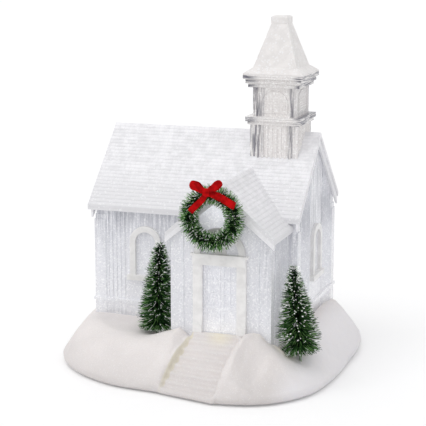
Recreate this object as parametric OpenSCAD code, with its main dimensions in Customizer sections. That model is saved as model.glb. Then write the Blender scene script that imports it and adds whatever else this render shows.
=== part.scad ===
// A lighted winter church for a shelf: clear walls, frosted roofs and a snow-covered base.
// Sizes are in millimetres, +Z is up and the front, with the stairs, faces -Y.
// The origin is on the table, under the middle of the base.

/* [Base] */
// Width of the snow base from side to side
base_w = 227; // [215:1:250]
// Depth of the snow base from front to back
base_d = 236; // [225:1:260]
// Height of the snow round the walls
snow_h = 34; // [31:0.5:38]
// Gap between the rim of the base and the table
rim_gap = 1.2; // [0.8:0.1:2]
// Height of the landing in front of the door
landing_z = 40; // [37:0.5:42]
// Number of steps below the landing
step_count = 8; // [6:1:10]
// Width of the stairs at the landing
stair_top_w = 37; // [34:0.5:40]
// Width of the stairs at the floor
stair_foot_w = 44; // [38:0.5:46]
// Height of the snow banks above the steps
bank_h = 6; // [4:0.5:7]

/* [Nave] */
// Length of the nave between the gable walls' outer faces
nave_l = 161.5; // [156:0.5:165]
// Depth of the nave between the long walls' outer faces
nave_d = 106; // [102:0.5:112]
// Thickness of the clear walls
wall_t = 3; // [2:0.1:3.6]
// Height of the ridge above the table
ridge_z = 176; // [168:0.5:184]
// Height of the eaves above the table
eave_z = 120; // [114:0.5:125]
// Overhang of the roof past the long walls
eave_over = 5; // [3:0.5:8]
// Overhang of the roof past the gable walls
gable_over = 4.25; // [3:0.25:6]
// Thickness of the roofs, measured upright
roof_t = 4.2; // [3:0.1:5]
// Number of shingle courses on each side of the nave roof
nave_courses = 24; // [12:1:28]

/* [Porch] */
// Distance of the porch's middle from the nave's middle
porch_x = 37; // [34:0.5:38]
// Width of the porch between its outer faces
porch_w = 77; // [74:0.5:79]
// Distance of the porch's front wall from the nave's middle
porch_front = 99.5; // [94:0.5:102]
// Height of the porch ridge above the table
porch_ridge_z = 150.5; // [146:0.5:154]
// Height of the porch eaves above the table
porch_eave_z = 113.2; // [110:0.1:114]
// Number of shingle courses on each side of the porch roof
porch_courses = 16; // [8:1:20]
// Width of the door opening
door_w = 26.5; // [24:0.5:28]
// Height of the door opening
door_h = 51; // [46:0.5:53]

/* [Tower] */
// Distance of the tower's middle from the nave's middle
tower_x = 52; // [44:0.5:56]
// Width of the tower's lower stage
shaft_w = 37.6; // [35:0.2:39]
// Width of the belfry
belfry_w = 32.8; // [31:0.2:35]
// Height of the top of the lower stage above the table
shaft_top_z = 182.6; // [179:0.2:186]
// Height of the belfry
belfry_h = 22.2; // [20:0.2:25]
// Width of the spire at its eaves
spire_w = 47; // [45:0.5:50]
// Height of the spire, without its cap
spire_h = 38.2; // [34:0.2:44]

/* [Greenery] */
// Height of the left tree's brush
left_tree_h = 66; // [58:1:72]
// Widest radius of the left tree's brush
left_tree_r = 15; // [13:0.5:15.5]
// Height of the right tree's brush
right_tree_h = 61; // [54:1:68]
// Widest radius of the right tree's brush
right_tree_r = 16; // [14:0.5:16.5]
// Outer radius of the wreath
wreath_r = 24.5; // [22:0.5:26]
// Radius of the wreath's brush, from its wire to its tips
wreath_brush_r = 8; // [7:0.25:8.5]

/* [Battery and switch] */
// Diameter of one round cell
cell_d = 14.5; // [14:0.1:14.6]
// Length of one round cell
cell_l = 50.5; // [49:0.1:51]
// Number of cells side by side
cell_count = 3; // [2:1:3]
// Travel of the switch from on to timer
switch_travel = 6; // [4:0.5:7]

/* [Hidden] */
$fn = 48;

// Overrun of every cut and the small gap between pieces that aren't meant to touch
over = 0.5;
gap = 0.3;
fit_gap = 0.05;

// Place of the nave's middle in the base
house_x = -2.5;
roof_shift = -1;
house_y = 28;

// Outline of the base, as shares of its width and depth, anticlockwise from the right
outline_shares = [
    [0.500, 0.034], [0.487, 0.246], [0.416, 0.407], [0.249, 0.492], [0.007, 0.500],
    [-0.236, 0.483], [-0.421, 0.398], [-0.491, 0.225], [-0.500, -0.008], [-0.456, -0.212],
    [-0.359, -0.343], [-0.192, -0.436], [0.007, -0.462], [0.196, -0.500], [0.355, -0.458],
    [0.460, -0.339], [0.496, -0.178]
];
outline_steps = 8;
// How far along each ring of the snow lies, as shares of the way out from its middle
ring_shares = [1, 0.99, 0.97, 0.94, 0.91, 0.875, 0.835, 0.79, 0.735, 0.67, 0.59, 0.49, 0.36, 0.2];
// The middle of the snow as shares of the base, and the share of the way in where it is full height
snow_mid_share = [0.007, 0.055];
snow_full_share = 0.22;
snow_round_share = 1.6;
rim_tuck_share = 0.985;
rim_h = 5;
// Swells and dips of the snow: place from the nave's middle, height and reach
swells = [
    [64, -112, 5, 14], [93, -88, -8, 24], [97, 8, 5, 22],
    [-79, -92, 4, 20], [-18, -84, -5, 14], [-97, 10, 2, 26]
];
bank_reach = 13;

// Snow base underneath
deck_z = 28;
shelf_w = 1;
rim_wall = 8;
rim_cavity_z = 8;
porch_cavity_top = 25;
porch_cavity_edge = 9;
boss_r = 4;
boss_top = 20;
boss_share = 0.8;
boss_round_shares = [0.01, 0.18, 0.34, 0.51, 0.68, 0.84];

// Stairs: the foot lies to the left of the landing and turns a little with the rim
foot_shift = -12;
landing_d = 4.8;
foot_left_y = 136.5;
foot_right_y = 146.5;
channel_top = 70;

// Base plate, feet and screws
plate_z = 3;
plate_t = 2;
plate_top = plate_z + plate_t;
foot_r = 6;
foot_share = 0.72;
foot_round_shares = [0.09, 0.42, 0.59, 0.92];
screw_r = 1.3;
screw_head_r = 2.6;
screw_head_h = 1.5;
screw_l = 9;
screw_hole_gap = 0.3;

// Battery compartment
box_y = 2;
box_t = 1.5;
cell_pitch = cell_d + fit_gap * 8;
cell_room = gap;
spring_l = 5;
spring_r = 3;
contact_t = 0.4;
contact_w = 8;
contact_h = 9;
nub_r = 2.7;
nub_l = 1;
box_in_w = cell_pitch * cell_count + gap;
box_in_l = cell_l + nub_l + spring_l + 2 * contact_t;
box_w = box_in_w + 2 * box_t;
box_l = box_in_l + 2 * box_t;
cell_z = plate_top + cell_room + cell_d / 2;
box_top = plate_top + 2 * cell_room + cell_d + box_t;

// Battery door and its hinge
door_t = 1.8;
door_gap = 0.5;
hinge_z = 6.2;
hinge_out = 3.2;
hinge_r = 1;
hinge_gap = 0.06;
lug_w = 3;
lug_r = 2;
arm_w = 3;
arm_r = 1.6;
hinge_span = 18;
lug_off = hinge_span / 2 + arm_w / 2 + gap + lug_w / 2;
lug_sweep = norm([lug_r, hinge_z - plate_z]) + gap;
arm_sweep = norm([arm_r, hinge_z - plate_z]) + gap;
hinge_y = box_y + box_l / 2 + hinge_out;
window_w = box_in_w;
window_low_y = box_y - box_in_l / 2;
window_high_y = hinge_y + arm_sweep;

// Switch
switch_w = 20;
switch_d = 10;
switch_side_gap = 10.75;
switch_back_gap = 6;
switch_x = nave_l / 2 - wall_t - shelf_w - switch_side_gap - switch_w / 2;
switch_y = nave_d / 2 - wall_t - shelf_w - switch_back_gap - switch_d / 2;
switch_h = 8;
switch_t = 1.4;
slider_w = 6;
slider_h = 4;
knob_w = 3.6;
knob_d = 3.2;
knob_low = 1.7;

// Circuit board
board_y = 0;
board_w = 40;
board_d = 34;
board_t = 1.6;
board_z = 11;
post_r = 2.6;
post_in = 4;
led_r = 2.5;
led_h = 5;
led_spots_share = [[-0.3, 0.2], [0, -0.15], [0.3, 0.2]];
chip_w = 8;
chip_d = 5;
chip_h = 1.6;
can_r = 2.5;
can_h = 6;
lead_r = 0.7;

// Motor, drive disc and impeller
motor_y = 0;
motor_r = 12;
motor_h = 12;
cup_t = 1.8;
cup_r = motor_r + 2 * fit_gap + cup_t;
cup_h = 9;
cup_floor = 2;
cup_ear = 4;
ear_off = cup_r + screw_head_r + gap;
board_screw_l = 5.8;
motor_z = plate_top + cup_floor;

// Gaps from the left wall's shelf to the battery box, the motor's cup, the circuit board and the right wall's shelf
box_side_gap = 4.75;
box_motor_gap = 18.1;
motor_board_gap = 12.1;
board_side_gap = 2.75;
// How much of each gap the nave's length leaves
gap_share = (nave_l - 2 * (wall_t + shelf_w + cup_r) - box_w - board_w)
    / (box_side_gap + box_motor_gap + motor_board_gap + board_side_gap);
box_x = wall_t + shelf_w + box_side_gap * gap_share + box_w / 2 - nave_l / 2;
motor_x = box_x + box_w / 2 + box_motor_gap * gap_share + cup_r;
board_x = motor_x + cup_r + motor_board_gap * gap_share + board_w / 2;
shaft_r = 1;
shaft_deep = 8;
disc_r = 13;
disc_z = 24.4;
disc_h = 3.4;
hub_r = 3;
hub_h = 1.6;
magnet_r = 3;
magnet_h = 2;
magnet_off = 8.5;
pin_r = 1;
pin_deep = 2;
collar_r = 2;
impeller_r = 11.5;
impeller_h = 5;
impeller_lift = 0.8;
impeller_disc_h = 2.6;
blade_t = 1;
blade_count = 4;
guard_r = 14.5;
guard_t = 1.4;
guard_h = 9;
guard_slots = 8;
guard_slot_w = 5;
guard_top_t = 1.2;
guard_foot = 1.6;

// Water tank
floor_z = 29;
floor_t = 3;
floor_top = floor_z + floor_t;
gasket_t = 1.5;
gasket_w = 6;
ledge_t = 3;
ledge_in = 8;
tank_screw_in = 4;
tank_screw_l = 6.4;
tank_screws_long = 3;
plug_r = 4.5;
plug_flange = 1.8;
plug_flange_h = 1;
plug_side_gap = 10.45;
plug_front_gap = 14.7;
plug_x = wall_t + shelf_w + plug_side_gap + plug_flange + plug_r - nave_l / 2;
plug_y = wall_t + shelf_w + plug_front_gap + plug_flange + plug_r - nave_d / 2;
boss_floor_r = 3;
boss_floor_h = 0.6;

// Walls
rib_w = 1.4;
rib_p = 3.4;
rib_h = 0.7;
rib_edge = 9;
buttress_w = 9;
buttress_h = 1.3;
buttress_z = 108;
buttress_cap = 4;
plinth_z = 41.5;
plinth_low = 2;
plinth_h = 4;
plinth_out = 2.4;
plinth_step = 1.2;
pocket_gap = 0.3;

// Roofs
course_h = 0.5;
nave_half = nave_d / 2 + eave_over;
nave_slope = (ridge_z - eave_z) / nave_half;
porch_over = 3;
porch_out = 4;
porch_half = porch_w / 2 + porch_over;
porch_slope = (porch_ridge_z - porch_eave_z) / porch_half;
porch_back = 18;
trim_t = 1.6;
trim_d = 6;
barge_t = 2;
barge_d = 7;

// Windows
window_r = 12.8;
window_sill_z = 66;
window_spring_z = 92;
window_frame_w = 4.6;
window_frame_t = 2.4;
sill_over = 2.2;
sill_h = 4;
sill_t = 3.8;
front_window_x = -39.5;
back_window_off = 44;

// Door
post_w = 7;
post_t = 3;
lintel_h = 8;
lintel_t = 4;
lintel_over = 1.6;
lintel_cap_h = 1.6;
base_block_h = 6;
base_block_t = 3.8;
fan_r = 19.5;
fan_w = 4.8;
fan_t = 2.6;
fan_hub_r = 5;
fan_bar_w = 1.4;
fan_bar_t = 1.2;
fan_bars = 4;
leaf_t = 2.4;
leaf_in = 0.8;
leaf_gap = 0.15;
leaf_rail = 2.2;
leaf_sink = 0.9;
leaf_lower_share = 0.36;
leaf_bar_w = 0.9;
leaf_rows = 3;

// Tower
shaft_t = 2.6;
shaft_rib_p = 3.6;
shaft_rib_w = 1.6;
shaft_rib_h = 0.7;
shaft_edge = 5;
cornice_h = 6.2;
cornice_low_h = 2.6;
cornice_low_w = 41;
cornice_w = 43.8;
cornice_bore = 28;
belfry_z = shaft_top_z + cornice_h;
belfry_t = 2.6;
panel_w = 21;
panel_sink = 1.2;
panel_t = 1.6;
panel_low = 2.2;
panel_spring = 9.4;
panel_slats = 5;
slat_h = 1;
slat_t = 0.5;
post_strip_w = 3;
post_strip_t = 0.8;
crown_z = belfry_z + belfry_h;
crown_low_h = 3;
crown_low_w = 40.4;
crown_mid_h = 3.4;
crown_mid_w = 43.6;
crown_top_h = 3.2;
crown_h = crown_low_h + crown_mid_h + crown_top_h;
crown_bore = 28;
spire_z = crown_z + crown_h;
flare_h = 5.4;
flare_w = 34.5;
spire_top_w = 12.6;
spire_t = 2.2;
spire_lip = 1;
cap_w = 13.2;
cap_h = 5.4;
cap_round = 1.2;

// Trees and wreath
left_tree_at = [-18.4, -84, 32.4];
left_lean = 2;
right_tree_at = [94, -88, 29.6];
right_lean = -5.5;
stem_r = 1;
stem_deep = 12;
core_r = 1.1;
tree_sides = 8;
tree_rows = 18;
tree_tip_r = 2.4;
tree_droop = 1.5;
tree_round_share = 0.16;
tree_taper_share = 0.8;
wreath_x = -2.3;
wreath_y = 12.5;
wreath_z = 127.6;
wreath_core_r = 1.1;
wreath_steps = 36;
wreath_sides = 4;
hanger_r = 0.5;
hanger_l = 4.4;
bow_x = -0.4;
bow_y = 7.05;
bow_z = 20.4;
ribbon_t = 0.7;
ribbon_w = 5.2;
loop_l = 15.5;
loop_d = 5.4;
left_loop_angle = 150;
right_loop_angle = 32;
left_tail_l = 20;
right_tail_l = 23;
left_tail_angle = -131;
right_tail_angle = -24;
tail_lift = 1.2;
knot_w = 5.6;
knot_h = 5;
knot_t = 4;

clear_colour = [0.86, 0.89, 0.95, 0.55];
frost_colour = [0.93, 0.93, 0.97];
snow_colour = [0.97, 0.95, 0.93];
trim_colour = [0.95, 0.94, 0.92];
green_colour = [0.12, 0.33, 0.16];
red_colour = [0.78, 0.05, 0.06];
plastic_colour = [0.90, 0.90, 0.88];
dark_colour = [0.12, 0.12, 0.13];
steel_colour = [0.72, 0.73, 0.75];
brass_colour = [0.80, 0.66, 0.36];
board_colour = [0.10, 0.38, 0.22];

// Helpers

// Moves its children from the nave's middle to their place in the base
module at_house() translate([house_x, house_y, 0]) children();

// A box from one corner to the other
module block(low, high) translate(low) cube(high - low);

// A square slab round the Z axis
module slab(w, h, z) translate([-w / 2, -w / 2, z]) cube([w, w, h]);

// An upright cylinder
module post(r, h, z) translate([0, 0, z]) cylinder(r = r, h = h);

// Extrudes an outline drawn in Y and Z along X, from the middle both ways
module along_x(l) translate([-l / 2, 0, 0]) rotate([90, 0, 90]) linear_extrude(l) children();

// Extrudes an outline drawn in X and Z from y forwards, towards the front
module forwards(y, l) translate([0, y, 0]) rotate([90, 0, 0]) linear_extrude(l) children();

function lowest(list, axis) = min([for (p = list) p[axis]]);
function highest(list, axis) = max([for (p = list) p[axis]]);

// A point on the smooth closed curve through the outline's points
function curve_point(a, b, c, d, t) =
    0.5 * (2 * b + (c - a) * t + (2 * a - 5 * b + 4 * c - d) * t * t + (3 * b - a - 3 * c + d) * t * t * t);
function outline_curve(list, n) = [
    for (i = [0:len(list) - 1], k = [0:n - 1])
        curve_point(list[(i + len(list) - 1) % len(list)], list[i], list[(i + 1) % len(list)],
            list[(i + 2) % len(list)], k / n)
];
rough_outline = outline_curve(outline_shares, outline_steps);
outline_low = [lowest(rough_outline, 0), lowest(rough_outline, 1)];
outline_high = [highest(rough_outline, 0), highest(rough_outline, 1)];
outline = [
    for (p = rough_outline) [
        ((p[0] - outline_low[0]) / (outline_high[0] - outline_low[0]) - 1 / 2) * base_w,
        ((p[1] - outline_low[1]) / (outline_high[1] - outline_low[1]) - 1 / 2) * base_d
    ]
];
snow_mid = [snow_mid_share[0] * base_w, snow_mid_share[1] * base_d];
function on_ring(p, share) = snow_mid + (p - snow_mid) * share;

// Height of the snow: a steep rounded flank at the rim, and swells and dips above it
function swell(p) = [for (s = swells)
    s[2] * exp(-(pow(p[0] - house_x - s[0], 2) + pow(p[1] - house_y - s[1], 2)) / pow(s[3], 2))];
function sum(list, i = 0) = i < len(list) ? list[i] + sum(list, i + 1) : 0;
function flank(share) = 1 - pow(1 - min(1, (1 - share) / snow_full_share), snow_round_share);
function open_snow_z(p, share) = rim_gap + rim_h + (snow_h + sum(swell(p)) - rim_gap - rim_h) * flank(share);

// Plan of the stairs: the ends of the line at a share of the way from the landing to the foot
function between(a, b, share) = a + (b - a) * share;
function stair_left(share) = [
    porch_x - between(stair_top_w, stair_foot_w, share) / 2 + foot_shift * share,
    -between(porch_front, foot_left_y, share)
];
function stair_right(share) = [
    porch_x + between(stair_top_w, stair_foot_w, share) / 2 + foot_shift * share,
    -between(porch_front, foot_right_y, share)
];

// Height of the snow banks along the stairs, zero away from them
function bank_z(q, share, out) = out > bank_reach || share < 0 ? 0 :
    between(landing_z, rim_gap, min(1, share)) + bank_h * (1 - pow(out / bank_reach, 2)) * (1 - pow(min(1, share), 3));
function bank_at(q) =
    let (
        left = (-q[1] - porch_front) / (foot_left_y - porch_front),
        right = (-q[1] - porch_front) / (foot_right_y - porch_front)
    )
    q[0] < porch_x + foot_shift / 2
        ? bank_z(q, left, max(0, stair_left(left)[0] - q[0]))
        : bank_z(q, right, max(0, q[0] - stair_right(right)[0]));
function snow_z(p, share) = max(open_snow_z(p, share), bank_at(p - [house_x, house_y]));

// Roof surfaces
function nave_top(y) = ridge_z - nave_slope * abs(y);
function nave_under(y) = nave_top(y) - roof_t;
function porch_top(x) = porch_ridge_z - porch_slope * abs(x);
function porch_under(x) = porch_top(x) - roof_t;

// One side of a shingled roof, from the ridge down: each course drops at its lower edge
function courses(half, n, slope, top) = [
    for (i = [0:n - 1], k = [0:1])
        let (s = half * (i + k) / n) [s, top - slope * s - (k == 0 && i > 0 ? course_h : 0)]
];
function mirrored(list) = [for (i = [len(list) - 1:-1:1]) [-list[i][0], list[i][1]]];
module shingled(half, n, slope, top) {
    side = courses(half, n, slope, top);
    under = [[half, top - slope * half - roof_t], [0, top - roof_t], [-half, top - slope * half - roof_t]];
    polygon(concat(mirrored(side), side, under));
}

// Everything that the nave and its roof fill, for cutting what stands against them
module nave_envelope() translate([roof_shift, 0, 0]) along_x(nave_l + 2 * gable_over) polygon([
    [-nave_d / 2, 0], [nave_d / 2, 0],
    [nave_d / 2, nave_under(nave_half)], [nave_half, nave_under(nave_half)], [nave_half, nave_top(nave_half)],
    [0, ridge_z],
    [-nave_half, nave_top(nave_half)], [-nave_half, nave_under(nave_half)], [-nave_d / 2, nave_under(nave_half)]
]);

// Places of the ribs along one wall, without those that fall in a bare stretch
function rib_places(l, p, edge, bare) = [
    let (n = floor((l - 2 * edge) / p)) for (k = [0:n])
        let (s = (k - n / 2) * p)
            if (len([for (b = bare) if (s > b[0] && s < b[1]) 1]) == 0) s
];
function rib_teeth(l, p, edge, bare, w, h) = [
    for (s = rib_places(l, p, edge, bare), q = [[-w / 2, 0], [-w / 2, h], [w / 2, h], [w / 2, 0]])
        [s + q[0], q[1]]
];
function turned(list, half, turn) = [for (p = list)
    turn == 0 ? [p[0], -half - p[1]] :
    turn == 1 ? [half + p[1], p[0]] :
    turn == 2 ? [-p[0], half + p[1]] : [-half - p[1], -p[0]]];

// A rectangle with upright ribs on its four sides: front, right, back and left
module ribbed(size, p, edge, w, h, bare) polygon([
    for (turn = [0:3])
        let (
            l = turn % 2 == 0 ? size[0] : size[1],
            half = turn % 2 == 0 ? size[1] / 2 : size[0] / 2,
            teeth = rib_teeth(l, p, edge, bare[turn], w, h)
        )
        for (q = turned(concat([[-l / 2, 0]], teeth), half, turn)) q
]);

// An arched opening standing on z = low
module arch(r, low, spring) {
    translate([-r, low]) square([2 * r, spring - low]);
    half_disc(r, spring);
}

// The upper half of a disc, standing on z = low
module half_disc(r, low) translate([0, low]) intersection() {
    circle(r);
    translate([-r, 0]) square([2 * r, r]);
}

// Base pieces

module snow_solid() {
    n = len(outline);
    rings = len(ring_shares);
    points = concat(
        [for (p = outline) let (q = on_ring(p, rim_tuck_share)) [q[0], q[1], rim_gap]],
        [for (share = ring_shares, p = outline) let (q = on_ring(p, share)) [q[0], q[1], snow_z(q, share)]],
        [[snow_mid[0], snow_mid[1], rim_gap], [snow_mid[0], snow_mid[1], snow_z(snow_mid, 0)]]
    );
    floor_mid = n * (rings + 1);
    faces = concat(
        [for (k = [0:n - 1]) [floor_mid, k, (k + 1) % n]],
        [for (j = [0:rings - 1], k = [0:n - 1], half = [0:1])
            let (a = j * n + k, b = j * n + (k + 1) % n)
                half == 0 ? [a, a + n, b] : [b, a + n, b + n]],
        [for (k = [0:n - 1]) [rings * n + k, floor_mid + 1, rings * n + (k + 1) % n]]
    );
    polyhedron(points = points, faces = faces);
}

// The stairs' plan up to a share of the way to the foot, let a little into the snow and kept inside the outline
module stair_plan(share) intersection() {
    polygon([
        stair_left(0) - [over, 0], stair_right(0) + [over, 0],
        stair_right(share) + [over, 0], stair_left(share) - [over, 0]
    ]);
    translate([-house_x, -house_y]) polygon(outline);
}

module stairs() {
    landing = landing_d / (foot_left_y - porch_front);
    riser = (landing_z - rim_gap) / step_count;
    for (k = [0:step_count - 1])
        translate([0, 0, rim_gap])
            linear_extrude(riser * (step_count - k))
                stair_plan(between(landing, 1, k / (step_count - 1)));
}

// The open way down through the snow, as wide as the stairs and running on past their foot
module stair_channel() translate([0, 0, rim_gap]) linear_extrude(channel_top)
    polygon([stair_left(0), stair_right(0), stair_right(2), stair_left(2)]);

module house_pocket() {
    wide = 2 * (buttress_h + pocket_gap);
    block([-nave_l / 2 - wide / 2, -nave_d / 2 - wide / 2, deck_z],
        [nave_l / 2 + wide / 2, nave_d / 2 + wide / 2, channel_top]);
    porch_wide = porch_w / 2 + rib_h + pocket_gap;
    block([porch_x - porch_wide, -porch_front, deck_z], [porch_x + porch_wide, 0, channel_top]);
    beside = (porch_wide - fan_r - post_w) / 2;
    for (side = [-1, 1]) translate([porch_x + side * (porch_wide - beside), 0])
        block([-beside, -porch_front - rib_h - pocket_gap, deck_z], [beside, 0, channel_top]);
    surround = door_w / 2 + post_w + gap;
    block([porch_x - surround, -porch_front - lintel_t - gap, landing_z], [porch_x + surround, 0, channel_top]);
}

// The hollow under the porch
module porch_cavity() block(
    [porch_x - porch_w / 2 + porch_cavity_edge, -porch_front + porch_cavity_edge, -over],
    [porch_x + porch_w / 2 - porch_cavity_edge, wall_t + shelf_w + over - nave_d / 2, porch_cavity_top]
);

// The place a share of the way round the base's outline and a share of the way out from its middle
function round_place(turn, share) = on_ring(outline[floor(turn * len(outline))], share);

module snow_base() color(snow_colour) {
    difference() {
        union() {
            difference() {
                union() {
                    difference() {
                        snow_solid();
                        at_house() stair_channel();
                    }
                    at_house() stairs();
                }
                translate([0, 0, -over]) linear_extrude(rim_cavity_z + over) inset_outline(rim_wall);
            }
            for (turn = boss_round_shares) translate(round_place(turn, boss_share))
                post(boss_r, boss_top - plate_top, plate_top);
        }
        at_house() {
            house_pocket();
            porch_cavity();
            block([-nave_l / 2 + wall_t + shelf_w, -nave_d / 2 + wall_t + shelf_w, -over],
                [nave_l / 2 - wall_t - shelf_w, nave_d / 2 - wall_t - shelf_w, deck_z + over]);
            at_left_tree() post(stem_r + fit_gap, 2 * stem_deep, -stem_deep);
            at_right_tree() post(stem_r + fit_gap, 2 * stem_deep, -stem_deep);
        }
        for (turn = boss_round_shares) translate(round_place(turn, boss_share))
            post(screw_r + fit_gap, screw_l + over, plate_top - over);
    }
}

// The base's outline drawn in by a wall, for the cavity and the plate
module inset_outline(w) {
    share = 1 - 2 * w / min(base_w, base_d);
    polygon([for (p = outline) on_ring(p, share)]);
}

module base_plate() color(plastic_colour) {
    difference() {
        union() {
            translate([0, 0, plate_z]) linear_extrude(plate_t) inset_outline(rim_wall + gap * 2);
            at_house() for (p = board_posts()) translate(p) post(post_r, board_z - plate_top, plate_top);
        }
        for (turn = boss_round_shares) translate(round_place(turn, boss_share))
            post(screw_r + screw_hole_gap, plate_t + 2 * over, plate_z - over);
        at_house() {
            block([box_x - window_w / 2, window_low_y, plate_z - over],
                [box_x + window_w / 2, window_high_y, plate_top + over]);
            block([switch_x - knob_w / 2 - gap, switch_y - knob_d / 2 - gap, plate_z - over],
                [switch_x + knob_w / 2 + gap + switch_travel, switch_y + knob_d / 2 + gap, plate_top + over]);
            for (p = cup_ears()) translate(p) post(screw_r + fit_gap, plate_t + 2 * over, plate_z - over);
            for (p = board_posts()) translate(p)
                post(screw_r + fit_gap, board_screw_l, board_z + board_t - board_screw_l - over);
        }
    }
    at_house() for (side = [-1, 1]) translate([box_x + side * lug_off, hinge_y, 0]) hinge_lug();
}

module hinge_lug() difference() {
    translate([-lug_w / 2, 0, 0]) {
        block([0, -lug_r, plate_z], [lug_w, arm_sweep + over, plate_top]);
        block([0, -lug_r, plate_top], [lug_w, lug_r, hinge_z]);
        translate([0, 0, hinge_z]) rotate([0, 90, 0]) cylinder(r = lug_r, h = lug_w);
    }
    translate([-lug_w / 2 - over, 0, hinge_z]) rotate([0, 90, 0])
        cylinder(r = hinge_r + hinge_gap, h = lug_w + 2 * over);
}

module driven_screw(l) {
    post(screw_head_r, screw_head_h, -screw_head_h);
    post(screw_r, l, 0);
}

module base_plate_screws() color(steel_colour)
    for (turn = boss_round_shares) translate(round_place(turn, boss_share))
        translate([0, 0, plate_z]) driven_screw(screw_l);

module rubber_feet() color(dark_colour)
    for (turn = foot_round_shares) translate(round_place(turn, foot_share)) post(foot_r, plate_z, 0);

module battery_box() color(plastic_colour) at_house() translate([box_x, box_y, 0]) difference() {
    block([-box_w / 2, -box_l / 2, plate_top], [box_w / 2, box_l / 2, box_top]);
    block([-box_in_w / 2, -box_in_l / 2, plate_top - over], [box_in_w / 2, box_in_l / 2, box_top - box_t]);
}

function cell_xs() = [for (k = [0:cell_count - 1]) (k - (cell_count - 1) / 2) * cell_pitch];
function cell_way(k) = k % 2 == 0 ? 1 : -1;
cell_back = box_in_l / 2 - contact_t;

// Children drawn with the cell's flat end at y = 0 and the cell towards -Y, for each cell in turn
module each_cell() at_house() translate([box_x, box_y, cell_z])
    for (k = [0:cell_count - 1]) translate([cell_xs()[k], 0, 0]) mirror([0, cell_way(k) > 0 ? 0 : 1, 0]) children();

module battery_cells() color(dark_colour) each_cell() {
    translate([0, cell_back - nub_l, 0]) rotate([90, 0, 0]) cylinder(r = cell_d / 2, h = cell_l);
    translate([0, cell_back, 0]) rotate([90, 0, 0]) cylinder(r = nub_r, h = nub_l);
}

module battery_contacts() color(steel_colour) each_cell() {
    for (y = [cell_back, -box_in_l / 2])
        block([-contact_w / 2, y, -contact_h / 2], [contact_w / 2, y + contact_t, contact_h / 2]);
}

module battery_springs() color(steel_colour) each_cell()
    translate([0, cell_back - nub_l - cell_l, 0]) rotate([90, 0, 0]) cylinder(r = spring_r, h = spring_l);

module battery_door() color(plastic_colour) at_house() translate([box_x, 0, 0]) {
    difference() {
        block([-window_w / 2 + door_gap, window_low_y + door_gap, plate_z],
            [window_w / 2 - door_gap, hinge_y, plate_z + door_t]);
        for (side = [-1, 1]) translate([side * lug_off, hinge_y, 0])
            block([-lug_w / 2 - gap, -lug_sweep, plate_z - over], [lug_w / 2 + gap, over, plate_top + over]);
    }
    for (side = [-1, 1]) translate([side * hinge_span / 2, hinge_y, 0]) {
        block([-arm_w / 2, -arm_r, plate_z], [arm_w / 2, 0, hinge_z]);
        translate([-arm_w / 2, 0, hinge_z]) rotate([0, 90, 0]) cylinder(r = arm_r, h = arm_w);
        mirror([side < 0 ? 1 : 0, 0, 0]) translate([arm_w / 2, 0, hinge_z]) rotate([0, 90, 0])
            cylinder(r = hinge_r, h = lug_w + gap);
    }
}

module switch_housing() color(dark_colour) at_house() difference() {
    block([switch_x - switch_w / 2, switch_y - switch_d / 2, plate_top],
        [switch_x + switch_w / 2, switch_y + switch_d / 2, plate_top + switch_h]);
    block([switch_x - slider_w / 2 - gap, switch_y - switch_d / 2 + switch_t, plate_top - over],
        [switch_x + slider_w / 2 + gap + switch_travel, switch_y + switch_d / 2 - switch_t,
            plate_top + switch_h - switch_t]);
}

module switch_slider() color(dark_colour) at_house() translate([switch_x, switch_y, 0]) {
    block([-slider_w / 2, -switch_d / 2 + switch_t + gap, plate_top + gap],
        [slider_w / 2, switch_d / 2 - switch_t - gap, plate_top + gap + slider_h]);
    block([-knob_w / 2, -knob_d / 2, knob_low], [knob_w / 2, knob_d / 2, plate_top + gap]);
}

function board_posts() = [for (sx = [-1, 1], sy = [-1, 1])
    [board_x + sx * (board_w / 2 - post_in), board_y + sy * (board_d / 2 - post_in), 0]];

module circuit_board() color(board_colour) at_house() difference() {
    block([board_x - board_w / 2, board_y - board_d / 2, board_z],
        [board_x + board_w / 2, board_y + board_d / 2, board_z + board_t]);
    for (p = board_posts()) translate(p) post(screw_r + screw_hole_gap, board_t + 2 * over, board_z - over);
}

module board_screws() color(steel_colour) at_house()
    for (p = board_posts()) translate(p + [0, 0, board_z + board_t]) rotate([180, 0, 0])
        driven_screw(board_screw_l);

module board_components() color(dark_colour) at_house() translate([board_x, board_y, board_z + board_t]) {
    translate([0, board_d / 2 - post_in - chip_d / 2, 0]) block([-chip_w / 2, -chip_d / 2, 0], [chip_w / 2, chip_d / 2, chip_h]);
    translate([0, -board_d / 2 + post_in, 0]) post(can_r, can_h, 0);
}

module led_lamps() color([1, 0.93, 0.78]) at_house() translate([board_x, board_y, board_z + board_t])
    for (s = led_spots_share) translate([s[0] * board_w, s[1] * board_d, 0]) {
        post(led_r, led_h, 0);
        translate([0, 0, led_h]) sphere(led_r);
    }

// A wire through a few points, with a ball at each bend
module wire(points) {
    for (i = [0:len(points) - 2]) {
        run = points[i + 1] - points[i];
        translate(points[i])
            rotate([0, acos(run[2] / norm(run)), atan2(run[1], run[0])])
                cylinder(r = lead_r, h = norm(run));
    }
    for (i = [1:1:len(points) - 2]) translate(points[i]) sphere(lead_r);
}

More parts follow.
